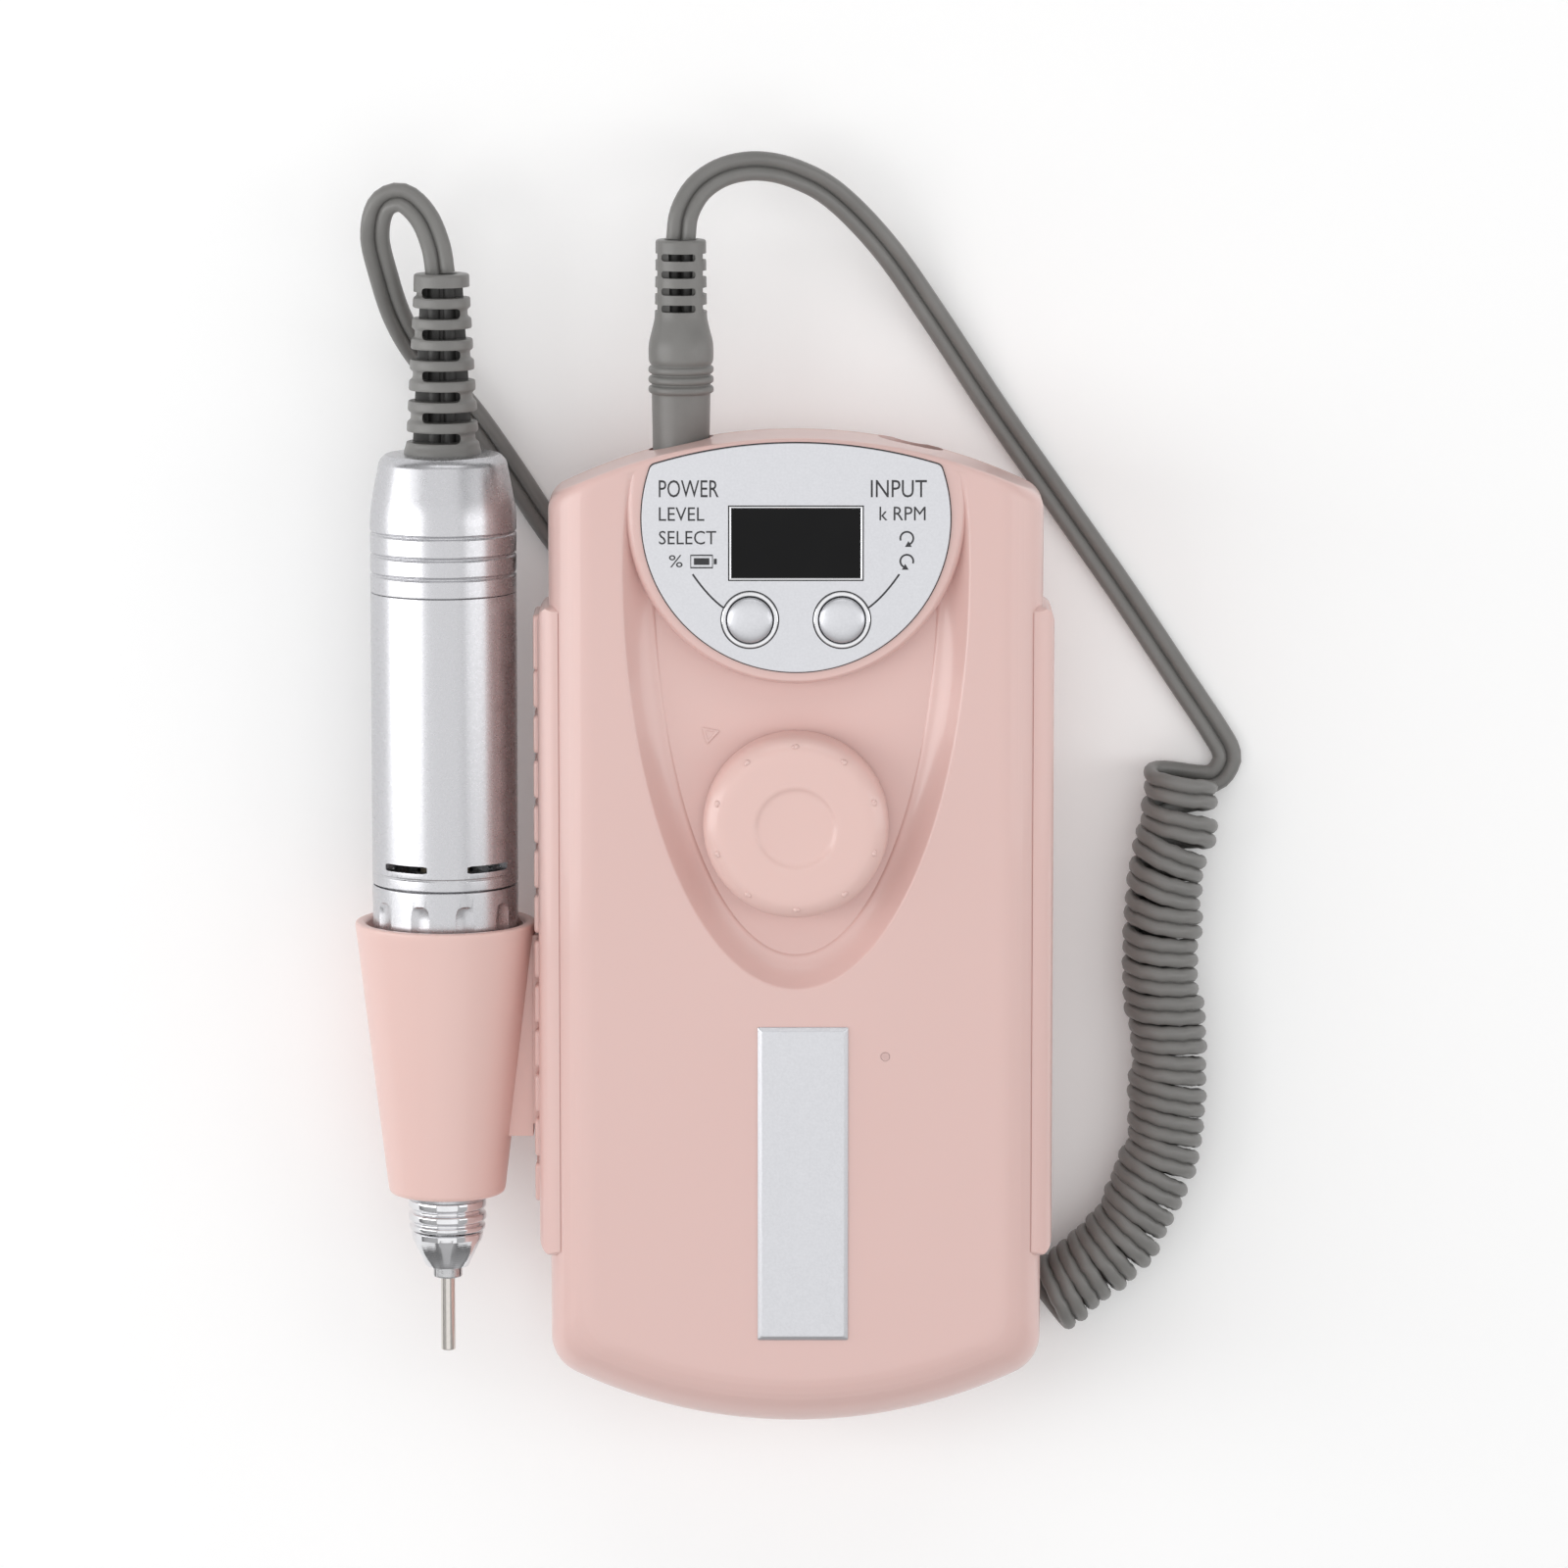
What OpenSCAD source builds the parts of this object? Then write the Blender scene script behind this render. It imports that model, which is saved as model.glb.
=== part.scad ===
// Portable electric nail drill: a battery control unit lying on its back, with a handpiece
// in a side holder and a curly lead between the two.
// X runs across the control unit, Y towards its socket end, and Z out of its front face.

/* [Control unit] */
// Width of the case
case_w = 80; // [76:0.5:84]
// Length of the case over its two curved ends
case_l = 163; // [160:0.5:166]
// Thickness of the case without its feet
case_t = 31; // [30:0.5:33]
// Wall thickness of both shells
wall = 2; // [1.6:0.1:2.2]
// Radius of the curve that forms the socket end
top_arc_r = 87; // [84:1:95]
// Radius of the curve that forms the other end
bottom_arc_r = 84; // [80:1:95]
// Height of the rubber feet
foot_h = 4; // [3.5:0.5:5]

/* [Front panel] */
// Radius of the round control plate
plate_r = 24.8; // [24:0.1:25.4]
// Height of the plate's centre above the middle of the case
plate_y = 68.6; // [68:0.1:69]
// Depth of the elliptical recess around the knob
recess_depth = 4; // [3:0.5:4]
// Radius of the speed knob at its foot
knob_r = 15; // [14:0.5:16]
// Height of the knob's centre above the middle of the case
knob_y = 18.8; // [17:0.1:21]
// Distance between the two push buttons
button_pitch = 14.8; // [14:0.1:15.6]
// Travel of a push button
button_travel = 0.6; // [0.3:0.1:0.8]

/* [Handpiece] */
// Radius of the handpiece barrel
barrel_r = 11.9; // [11.5:0.1:12]
// Radius of a standard bit shank
shank_r = 1.175; // [1.15:0.005:1.2]
// Sideways distance from the case's middle to the handpiece's axis
handpiece_offset = 57.3; // [57:0.1:59]
// Distance between neighbouring notches of the holder rail
notch_pitch = 7.4; // [7:0.1:8]

/* [Lead] */
// Width of the twin lead
lead_w = 4.8; // [4.4:0.1:5]
// Thickness of the twin lead
lead_t = 2.4; // [2.2:0.1:2.5]
// Outer diameter of the curly stretch
coil_d = 13; // [12:0.1:13]

/* [Hidden] */

// Colours
shell_pink = [0.89, 0.76, 0.73];
knob_pink = [0.92, 0.77, 0.74];
cord_grey = [0.45, 0.44, 0.43];
satin = [0.82, 0.82, 0.84];
steel = [0.70, 0.70, 0.72];
chrome = [0.86, 0.86, 0.88];
black = [0.08, 0.08, 0.09];
copper = [0.78, 0.45, 0.25];

// Levels of the control unit
back_z = foot_h;
face_z = foot_h + case_t;
part_z = 20;
floor_z = face_z - recess_depth;
roof_z = face_z - wall;
end_y = case_l / 2;
side_x = case_w / 2;

// Roundings of the case's front edge, and its corners seen from the front
side_round = 7.5;
end_round = 1.2;
foot_end_round = 10;
top_corner = 4;
bottom_corner = 7;
round_levels = [0, 0.15, 0.5, 1.2, 2.2, 3.6, 5.4, 7.5, 10];
// Height above the feet, and inset, of each step of the tapered back, from the top down
back_steps = [[11.5, 0.3], [10, 0.9], [1.5, 8], [0.5, 9.3], [0, 10.5]];

// Recess, boss and plate
recess_y = 60;
recess_half_w = 27.8;
recess_half_l = 68;
bank_w = 5;
boss_r = plate_r + 2.3;
plate_t = 0.6;
plate_top_y = end_y - 0.7;
plate_arc_r = 78;
display_y = 64.7;
display_w = 21.8;
display_h = 12.2;
button_y = 52.3;
button_r = 3.65;
bezel_r = 4.55;

// Inside the case
board_z = 24;
board_t = 1.6;
board_w = 44;
board_y0 = 3;
board_y1 = 66;
cell_r = 9.2;
cell_l = 65;
cell_y0 = -66;
cell_x = 9.7;
tray_t = 1.2;
cell_z = back_z + wall + tray_t + cell_r + 0.1;
screw_x = 25.5;
screw_ys = [60, -58];
foot_x = 25;
foot_y = 44;
socket_x = 18.6;
socket_r = 4.6;
socket_hole_r = 5.3;
nose_y = end_y - 3.8;
led_x = 14.5;
led_y = -19.2;
jack_bore_r = 2.85;
jack_pin_r = 0.95;
jack_pocket_y = 9.5;

// Rails and holder
axis_z = 20;
hand_x = -handpiece_offset;
rail_z0 = 14.5;
rail_z1 = 27.5;
rail_mid_z = (rail_z0 + rail_z1) / 2;
rail_t = 2.6;
rail_y0 = -53;
rail_y1 = 54;
rail_base_t = 1.8;
notch_y0 = -37.9;
notch_count = 11;
cup_top_y = 0.8;
cup_bottom_y = -44.5;
cup_top_r = 14.75;
cup_bottom_r = 9.5;
bracket_y0 = -34.6;

// Stations along the handpiece, measured on the Y axis
relief_y1 = 106.8;
cap_y1 = 77.5;
cap_y0 = 55.1;
barrel_y0 = 7.25;
sleeve_y0 = -45.5;
ring_y0 = -50.6;
nut_y0 = -56.8;
collet_y0 = -58.7;
shank_y0 = -71;
fit = 0.05;

// Plug stations
plug_y0 = nose_y + 0.2;
plug_y1 = 112.3;

// The object's box without the lead puts the origin under its middle
low = [hand_x - cup_top_r, -end_y];
high = [side_x + rail_base_t, relief_y1];
shift = [-(low[0] + high[0]) / 2, -(low[1] + high[1]) / 2, 0];

// Routes of the lead: points on its centre line, in the case's own coordinates
loop_route = [[-57.5, 106.8, 20], [-58.2, 111.2, 20], [-60.2, 116, 20], [-63.6, 119, 19.6],
    [-67, 117.6, 18.6], [-68.2, 112.5, 16.8], [-67, 106, 14], [-65, 99, 10.6], [-62, 93, 7.2],
    [-58, 88, 4.6], [-53, 81.8, 2.8], [-47, 73, 1.6], [-41.5, 64.5, 1.3], [-37.2, 58.8, 1.3],
    [-33.6, 56.5, 1.3], [-31, 56.5, 1.3]];
under_route = [[-31, 56.5, 1.3], [-28, 56.5, 1.3], [-23, 53.6, 1.3], [-16, 44, 1.3],
    [-10, 28, 1.3], [-4, 8, 1.3], [2, -14, 1.3], [8, -34, 1.3], [13, -46, 1.3],
    [19.5, -52.5, 1.3], [27, -54.8, 1.3], [34, -56, 1.3], [38.4, -59.4, 1.3],
    [42.5, -65, 1.3]];
coil_route = [[63, 24, 6.6], [63, 14, 6.6], [61.5, 7, 6.6], [60.5, 0, 6.6], [60.5, -8, 6.6],
    [61, -16, 6.6], [62, -26, 6.6], [61.5, -34, 6.6], [60, -43, 6.6], [57, -50, 6.6],
    [53, -56, 6.6], [48, -61, 6.6], [42.5, -65, 6.6]];
plug_route = [[-socket_x, plug_y1, 20], [-18, 116.6, 20], [-15.6, 120.6, 19.4],
    [-11.4, 123.2, 18.4], [-6, 123.9, 16.6], [0, 122.4, 13.8], [6.5, 118.5, 10.4],
    [14.5, 110, 6.6], [22.5, 98.5, 3.4], [33, 82.5, 1.6], [43.5, 67.5, 1.3], [54, 52.5, 1.3],
    [64, 37.5, 1.3], [69.4, 29.4, 1.4], [71.4, 25.4, 1.5], [70.4, 21.6, 1.4],
    [67.4, 20.6, 1.3], [63, 21.5, 1.3]];

// ---- Shared helpers ----

module place() {
    translate(shift) children();
}

// Puts a shape drawn along +Z onto the handpiece's axis, which runs along +Y
module on_handpiece() {
    translate([hand_x, 0, axis_z]) rotate([-90, 0, 0]) children();
}

// A ring or disc on the handpiece's axis, from y0 to y1
module axial_tube(y0, y1, outer, inner = 0) {
    on_handpiece() translate([0, 0, y0]) difference() {
        cylinder(h = y1 - y0, r = outer, $fn = 64);
        if (inner > 0) translate([0, 0, -1]) cylinder(h = y1 - y0 + 2, r = inner, $fn = 64);
    }
}

module block(x0, x1, y0, y1, z0, z1) {
    translate([x0, y0, z0]) cube([x1 - x0, y1 - y0, z1 - z0]);
}

function edge_inset(r, d) = d >= r ? 0 : r - sqrt(r * r - (r - d) * (r - d));

module rounded_corners(r) {
    offset(r = r, $fn = 48) offset(delta = -r) children();
}

// Half of the case's outline: a straight side, a corner and the arc that closes the end.
// It runs from the right side over the end to the left side; arc_r bulges towards +Y.
function end_outline(half, arc_r, apex, corner) =
    let (cx = half - corner, centre = apex - arc_r,
        cy = centre + sqrt(pow(arc_r - corner, 2) - cx * cx), a = atan2(cy - centre, cx))
    concat(
        [for (i = [0 : 5]) [cx + corner * cos(a * i / 6), cy + corner * sin(a * i / 6)]],
        [for (i = [0 : 16]) let (b = a + (180 - 2 * a) * i / 16)
            [arc_r * cos(b), centre + arc_r * sin(b)]],
        [for (i = [5 : -1 : 0]) [-cx - corner * cos(a * i / 6), cy + corner * sin(a * i / 6)]]);

// The case seen from the front, drawn in by its own amount at the sides and at each end
function outline(side, top, bottom, z) =
    let (half = side_x - side,
        upper = end_outline(half, top_arc_r - top, end_y - top, top_corner),
        lower = end_outline(half, bottom_arc_r - bottom, end_y - bottom, bottom_corner))
    concat([for (p = upper) [p[0], p[1], z]], [for (p = lower) [-p[0], -p[1], z]]);

// One closed solid through rings that have the same number of points
module loft(rings) {
    sides = len(rings[0]);
    last = len(rings) - 1;
    walls = [for (i = [0 : last - 1], k = [0 : sides - 1])
        let (a = i * sides + k, b = i * sides + (k + 1) % sides)
        each [[a, b, b + sides], [a, b + sides, a + sides]]];
    start_cap = [for (k = [sides - 1 : -1 : 0]) k];
    end_cap = [for (k = [0 : sides - 1]) last * sides + k];
    polyhedron(points = [for (r = rings) each r], faces = concat([start_cap, end_cap], walls),
        convexity = 8);
}

// Solid front half of the case; inner is how far it lies inside the outer surface
module front_solid(inner) {
    below = inner > 0 ? 0.1 : 0;
    loft(concat(
        [for (d = round_levels) outline(inner + edge_inset(side_round, d),
            inner + edge_inset(end_round, d), inner + edge_inset(foot_end_round, d),
            face_z - inner - d)],
        [outline(inner, inner, inner, part_z - below)]));
}

module rear_solid(inner) {
    above = inner > 0 ? 0.1 : 0;
    loft(concat(
        [outline(inner, inner, inner, part_z + above)],
        [for (step = back_steps) outline(inner + step[1], inner + step[1], inner + step[1],
            back_z + inner + step[0])]));
}

function ellipse(half_w, half_l, z) =
    [for (i = [0 : 95]) [half_w * cos(3.75 * i), recess_y + half_l * sin(3.75 * i), z]];

// The bowl around the knob, from past the front face down to its floor
module recess_bowl(grow) {
    rim_w = recess_half_w + grow;
    rim_l = recess_half_l + grow;
    loft([ellipse(rim_w, rim_l, face_z + 0.1), ellipse(rim_w, rim_l, face_z - grow),
        ellipse(rim_w - bank_w, rim_l - bank_w, floor_z - grow)]);
}

module boss_column(z0, z1, r) {
    translate([0, plate_y, z0]) cylinder(h = z1 - z0, r = r, $fn = 96);
}

module at_sockets() {
    for (x = [-socket_x, socket_x]) translate([x, 0, axis_z]) children();
}

module at_screws() {
    for (x = [-screw_x, screw_x], y = screw_ys) translate([x, y, 0]) children();
}

module at_feet() {
    for (x = [-foot_x, foot_x], y = [-foot_y, foot_y]) translate([x, y, 0]) children();
}

module at_buttons() {
    for (x = [-button_pitch / 2, button_pitch / 2]) translate([x, button_y, 0]) children();
}

module socket_holes() {
    at_sockets() translate([0, end_y - 12, 0]) rotate([-90, 0, 0])
        cylinder(h = 20, r = socket_hole_r, $fn = 48);
}

// ---- Control unit ----

module front_shell() {
    post_r = 3.2;
    pilot_r = 1.25;
    color(shell_pink) place() difference() {
        union() {
            difference() {
                front_solid(0);
                difference() {
                    front_solid(wall);
                    difference() {
                        recess_bowl(wall);
                        boss_column(part_z, roof_z, boss_r - wall);
                    }
                }
            }
            at_screws() translate([0, 0, part_z]) cylinder(h = roof_z - part_z + 1, r = post_r);
        }
        difference() {
            recess_bowl(0);
            boss_column(floor_z - 1, face_z + 1, boss_r);
        }
        at_screws() translate([0, 0, part_z - 1]) cylinder(h = 10, r = pilot_r, $fn = 24);
        block(-display_w / 2, display_w / 2, display_y - display_h / 2, display_y + display_h / 2,
            roof_z - 1, face_z + 1);
        at_buttons() translate([0, 0, roof_z - 1]) cylinder(h = 4, r = 2.2, $fn = 32);
        translate([0, knob_y, floor_z - 5]) cylinder(h = 8, r = 3.6, $fn = 48);
        translate([led_x, led_y, roof_z - 1]) cylinder(h = 4, r = 0.75, $fn = 24);
        socket_holes();
    }
}

module rear_shell() {
    post_r = 3.2;
    head_r = 2.6;
    color(shell_pink) place() difference() {
        union() {
            difference() {
                rear_solid(0);
                rear_solid(wall);
            }
            at_screws() translate([0, 0, back_z]) cylinder(h = part_z - back_z - 0.05, r = post_r);
        }
        at_screws() translate([0, 0, back_z - 1]) cylinder(h = 20, r = 1.6, $fn = 24);
        at_screws() translate([0, 0, back_z - 1]) cylinder(h = 5, r = head_r, $fn = 32);
        at_feet() translate([0, 0, back_z - 1]) cylinder(h = 1.5, r = 4.1, $fn = 32);
        socket_holes();
    }
}

module plate_outline() {
    rounded_corners(1.2) intersection() {
        translate([0, plate_y]) circle(plate_r, $fn = 144);
        translate([0, plate_top_y - plate_arc_r]) circle(plate_arc_r, $fn = 288);
    }
}

module face_plate() {
    color(satin) place() translate([0, 0, face_z]) difference() {
        linear_extrude(plate_t) plate_outline();
        block(-display_w / 2, display_w / 2, display_y - display_h / 2, display_y + display_h / 2,
            -1, 2);
        at_buttons() translate([0, 0, -1]) cylinder(h = 3, r = bezel_r + 0.02, $fn = 64);
    }
}

module display_window() {
    gap = 0.1;
    color(black) place() block(-display_w / 2 + gap, display_w / 2 - gap,
        display_y - display_h / 2 + gap, display_y + display_h / 2 - gap,
        face_z - 0.9, face_z + plate_t - 0.1);
}

module display_module() {
    color([0.2, 0.3, 0.25]) place() {
        block(-13, 13, display_y - 5.5, display_y + 5.5, 29.4, roof_z - 0.2);
        for (x = [-12, 12], y = [-4.5, 4.5])
            translate([x, display_y + y, board_z + board_t])
                cylinder(h = 29.6 - board_z - board_t, r = 0.5, $fn = 16);
    }
}

module button_bezels() {
    color(chrome) place() at_buttons() translate([0, 0, face_z]) difference() {
        cylinder(h = plate_t + 0.3, r = bezel_r, $fn = 64);
        translate([0, 0, -1]) cylinder(h = 3, r = button_r + 0.2, $fn = 64);
    }
}

// Domed cap, stem through the front shell and the flange that keeps it in
module button(x) {
    stem_z = board_z + board_t + 2.9 + button_travel;
    color(satin) place() translate([x, button_y, 0]) rotate_extrude($fn = 64)
        polygon([[0, stem_z], [1.9, stem_z], [1.9, 31.4], [4.2, 31.4], [4.2, 32.2], [1.9, 32.2],
            [1.9, face_z + 0.1 + button_travel], [button_r, face_z + 0.1 + button_travel],
            [button_r, face_z + 1.2], [2.6, face_z + 1.7], [1.3, face_z + 1.95],
            [0, face_z + 2]]);
}

module left_button() {
    button(-button_pitch / 2);
}

module right_button() {
    button(button_pitch / 2);
}

module tact_switches() {
    color(black) place() at_buttons() translate([0, 0, board_z + board_t]) {
        translate([-3, -3, 0]) cube([6, 6, 2]);
        cylinder(h = 2.8, r = 1.6, $fn = 32);
    }
}

module speed_knob() {
    foot_z = floor_z + 0.4;
    top_z = face_z + 4;
    mark_count = 10;
    color(knob_pink) place() translate([0, knob_y, 0]) difference() {
        union() {
            rotate_extrude($fn = 96) polygon([[0, foot_z + 3], [5.4, foot_z + 3],
                [5.4, foot_z + 0.4], [13.6, foot_z + 0.4], [13.6, foot_z], [knob_r, foot_z],
                [knob_r, top_z - 2.4], [knob_r - 0.5, top_z - 1.5], [13.4, top_z - 0.5],
                [12, top_z], [6.4, top_z], [6, top_z - 0.4], [0, top_z - 0.5]]);
            for (i = [0 : mark_count - 1])
                rotate(36 * i + 18) translate([13.4, 0, top_z - 1.2])
                    cylinder(h = 1, r = 0.5, $fn = 16);
        }
        translate([0, 0, foot_z - 1]) cylinder(h = 6.6, r = 3.02, $fn = 48);
    }
}

module potentiometer() {
    body_z = board_z + board_t;
    color(steel) place() translate([0, knob_y, 0]) difference() {
        union() {
            translate([0, 0, body_z]) cylinder(h = 28.8 - body_z, r = 8, $fn = 48);
            translate([0, 0, body_z]) cylinder(h = floor_z - body_z, r = 3.5, $fn = 48);
        }
        translate([0, 0, body_z + 1]) cylinder(h = 10, r = 3.05, $fn = 48);
    }
}

module potentiometer_shaft() {
    color(steel) place() translate([0, knob_y, board_z + board_t + 1.1])
        cylinder(h = 36.6 - board_z - board_t - 1.1, r = 3, $fn = 48);
}

module main_board() {
    color([0.10, 0.35, 0.20]) place() {
        block(-board_w / 2, board_w / 2, board_y0, board_y1, board_z, board_z + board_t);
        for (i = [0 : 3])
            block(-18 + 9 * i, -12 + 9 * i, 34, 40, board_z + board_t, board_z + board_t + 1.4);
        translate([17, 12, board_z + board_t]) cylinder(h = 2.6, r = 3.2, $fn = 32);
        translate([-17, 12, board_z + board_t]) cylinder(h = 2.6, r = 3.2, $fn = 32);
    }
}

module at_cells() {
    for (x = [-cell_x, cell_x]) translate([x, cell_y0, cell_z]) rotate([-90, 0, 0]) children();
}

module battery_cells() {
    color([0.25, 0.45, 0.75]) place() at_cells() {
        cylinder(h = cell_l, r = cell_r, $fn = 64);
        translate([0, 0, cell_l]) cylinder(h = 0.8, r = 3, $fn = 32);
    }
}

module battery_tray() {
    end_t = 1.5;
    top = cell_z - 1;
    color(black) place() difference() {
        union() {
            block(-20, 20, cell_y0, cell_y0 + cell_l + 1.6, back_z + wall + 0.02, top);
            block(-20, 20, cell_y0 + cell_l + 1.6, cell_y0 + cell_l + 1.6 + end_t,
                back_z + wall + 0.02, cell_z + 6);
        }
        at_cells() translate([0, 0, -1]) cylinder(h = cell_l + 2.6, r = cell_r + 0.05, $fn = 64);
    }
}

module battery_strips() {
    y = cell_y0 + cell_l + 0.85;
    color(chrome) place() {
        block(-12, 12, cell_y0 - 0.35, cell_y0 - 0.05, cell_z - 3, cell_z + 3);
        for (x = [-cell_x, cell_x]) block(x - 3, x + 3, y, y + 0.3, cell_z - 4, cell_z + 4);
    }
}

// Two wires from the cells' terminals up to the board
module battery_leads() {
    y = cell_y0 + cell_l + 2.3;
    z = cell_z + 6.75;
    wire_r = 0.65;
    color([0.75, 0.1, 0.1]) place() for (x = [-cell_x, cell_x]) {
        translate([x, y, z]) rotate([-90, 0, 0]) cylinder(h = 4.6, r = wire_r, $fn = 16);
        translate([x, y + 4.6, z - wire_r]) cylinder(h = board_z - z + wire_r, r = wire_r, $fn = 16);
    }
}

module name_plate() {
    x = 1.15;
    y = -40.2;
    w = 14.7;
    l = 51.8;
    edge = 0.5;
    color(satin) place() translate([x, y, face_z]) hull() {
        linear_extrude(0.3) square([w, l], center = true);
        linear_extrude(0.7) square([w - 2 * edge, l - 2 * edge], center = true);
    }
}

module charge_led() {
    color([0.85, 0.7, 0.67]) place() translate([led_x, led_y, roof_z - 3]) {
        cylinder(h = wall + 3.05, r = 0.7, $fn = 24);
        cylinder(h = 2.6, r = 1.5, $fn = 24);
    }
}

// A rail's base, drawn for the right side: it wraps over the case's front edge
module rail_base() {
    end_r = 3;
    outer_x = side_x + rail_base_t;
    intersection() {
        translate([0, rail_y1, 0]) rotate([90, 0, 0]) linear_extrude(rail_y1 - rail_y0)
            polygon(concat([[side_x - 0.02, rail_z0], [outer_x, rail_z0],
                [outer_x, face_z - 5.8], [outer_x - 0.35, face_z - 4.5],
                [outer_x - 1.1, face_z - 3.5], [outer_x - 2.2, face_z - 2.85],
                [side_x - 1.6, face_z - 2.65]],
                [for (d = [3 : 1 : 7]) [side_x - edge_inset(side_round, d) - 0.02, face_z - d]]));
        translate([side_x - 3, 0, 0]) rotate([90, 0, 90]) linear_extrude(6) rounded_corners(end_r)
            translate([rail_y0, rail_z0]) square([rail_y1 - rail_y0, face_z - rail_z0]);
    }
}

// Base with a strip of click notches and a T-shaped channel for the holder's foot
module left_rail() {
    outer_x = -side_x - rail_t;
    notch_w = 1.2;
    color(shell_pink) place() difference() {
        union() {
            mirror([1, 0, 0]) rail_base();
            block(outer_x, -side_x + 0.02, rail_y0, rail_y1, rail_z0, rail_z1);
        }
        block(outer_x - 1, outer_x + 2, rail_y0 + 1.2, notch_y0 + notch_pitch * notch_count,
            rail_mid_z - 2.4, rail_mid_z + 2.4);
        block(outer_x + 0.9, outer_x + 2, rail_y0 + 1.2, notch_y0 + notch_pitch * notch_count,
            rail_mid_z - 3.9, rail_mid_z + 3.9);
        for (i = [0 : notch_count - 1])
            block(outer_x - 1, outer_x + 0.7, notch_y0 + notch_pitch * i - notch_w / 2,
                notch_y0 + notch_pitch * i + notch_w / 2, rail_z0 - 1, rail_z1 + 1);
    }
}

module right_rail() {
    color(shell_pink) place() rail_base();
}

// Barrel jack: housing, round nose in the end wall, bore and centre pin
module jack(side) {
    color(black) place() at_socket_side(side) {
        difference() {
            union() {
                block(-5.5, 5.5, nose_y - 13, nose_y - 3.6, -4.2, 3.9);
                translate([0, nose_y - 4, 0]) rotate([-90, 0, 0])
                    cylinder(h = 4, r = socket_r, $fn = 48);
            }
            translate([0, nose_y - jack_pocket_y, 0]) rotate([-90, 0, 0])
                cylinder(h = jack_pocket_y + 1, r = jack_bore_r, $fn = 48);
        }
        translate([0, nose_y - jack_pocket_y - 0.5, 0]) rotate([-90, 0, 0])
            cylinder(h = 8, r = jack_pin_r, $fn = 24);
    }
}

module at_socket_side(side) {
    translate([side * socket_x, 0, axis_z]) children();
}

module output_socket() {
    jack(-1);
}

module charge_socket() {
    jack(1);
}

module case_screws() {
    head_z = back_z + 2.2;
    color(steel) place() at_screws() difference() {
        union() {
            translate([0, 0, head_z]) cylinder(h = 1.8, r = 2.4, $fn = 32);
            translate([0, 0, head_z]) cylinder(h = 22, r = 1.2, $fn = 24);
        }
        for (a = [0, 90]) rotate(a) translate([-1.5, -0.3, head_z - 1]) cube([3, 0.6, 1.8]);
    }
}

module rubber_feet() {
    color(black) place() at_feet() rotate_extrude($fn = 48)
        polygon([[0, 0], [3.4, 0], [3.9, 0.5], [4, back_z + 0.45], [0, back_z + 0.45]]);
}

// ---- Holder ----

module handpiece_holder() {
    cup_wall = 2.3;
    rail_face = -side_x - rail_t;
    color(shell_pink) place() {
        difference() {
            union() {
                on_handpiece() rotate_extrude($fn = 96) polygon([[0, cup_bottom_y + 0.6],
                    [cup_bottom_r - 1.6, cup_bottom_y], [cup_bottom_r - 0.5, cup_bottom_y + 0.4],
                    [cup_bottom_r, cup_bottom_y + 1.2], [cup_top_r - 0.5, cup_top_y - 3],
                    [cup_top_r, cup_top_y - 0.8], [cup_top_r - 0.6, cup_top_y], [0, cup_top_y]]);
                block(hand_x + 8, rail_face - 0.4, bracket_y0, cup_top_y,
                    rail_mid_z - 5.5, rail_mid_z + 2);
            }
            on_handpiece() rotate_extrude($fn = 96) polygon([[0, cup_bottom_y - 1],
                [cup_bottom_r - cup_wall, cup_bottom_y - 1],
                [cup_bottom_r - cup_wall, cup_bottom_y + 1],
                [cup_top_r - cup_wall, cup_top_y - 2], [cup_top_r - cup_wall + 0.5, cup_top_y + 1],
                [0, cup_top_y + 1]]);
        }
        block(rail_face - 0.5, rail_face + 1.3, bracket_y0 + 2, cup_top_y - 2,
            rail_mid_z - 2, rail_mid_z + 2);
        block(rail_face + 1.1, rail_face + 1.8, bracket_y0 + 2, cup_top_y - 2,
            rail_mid_z - 3.5, rail_mid_z + 3.5);
    }
}

// ---- Handpiece ----

module strain_relief() {
    base_r = 6;
    tip_r = 4.4;
    slots = 8;
    pitch = 3.35;
    slot_h = 1.5;
    first_y = cap_y1 + 2;
    color(cord_grey) place() difference() {
        on_handpiece() rotate_extrude($fn = 48) polygon([[0, cap_y1 - 4], [8, cap_y1 - 4],
            [8, cap_y1 - 2], [base_r, cap_y1 - 2], [base_r, cap_y1 + 0.6],
            [tip_r, relief_y1 - 3.2], [tip_r, relief_y1 - 0.6], [tip_r - 0.5, relief_y1],
            [0, relief_y1]]);
        for (i = [0 : slots - 1])
            translate([hand_x + (i % 2 == 0 ? 2 : -12), first_y + pitch * i, axis_z - 10])
                cube([10, slot_h, 20]);
    }
}

module tail_cap() {
    cap_wall = 1.6;
    ring_ys = [58.2, 61.4, 64.9];
    color(satin) place() difference() {
        on_handpiece() rotate_extrude($fn = 96) polygon([[6.1, cap_y1], [9.4, cap_y1],
            [10.3, cap_y1 - 0.9], [barrel_r, 68.3], [barrel_r, cap_y0],
            [barrel_r - cap_wall, cap_y0], [barrel_r - cap_wall, 68],
            [8.6, cap_y1 - 1.9], [6.1, cap_y1 - 1.9]]);
        for (y = ring_ys) axial_tube(y - 0.2, y + 0.2, barrel_r + 1, barrel_r - 0.3);
    }
}

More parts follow.
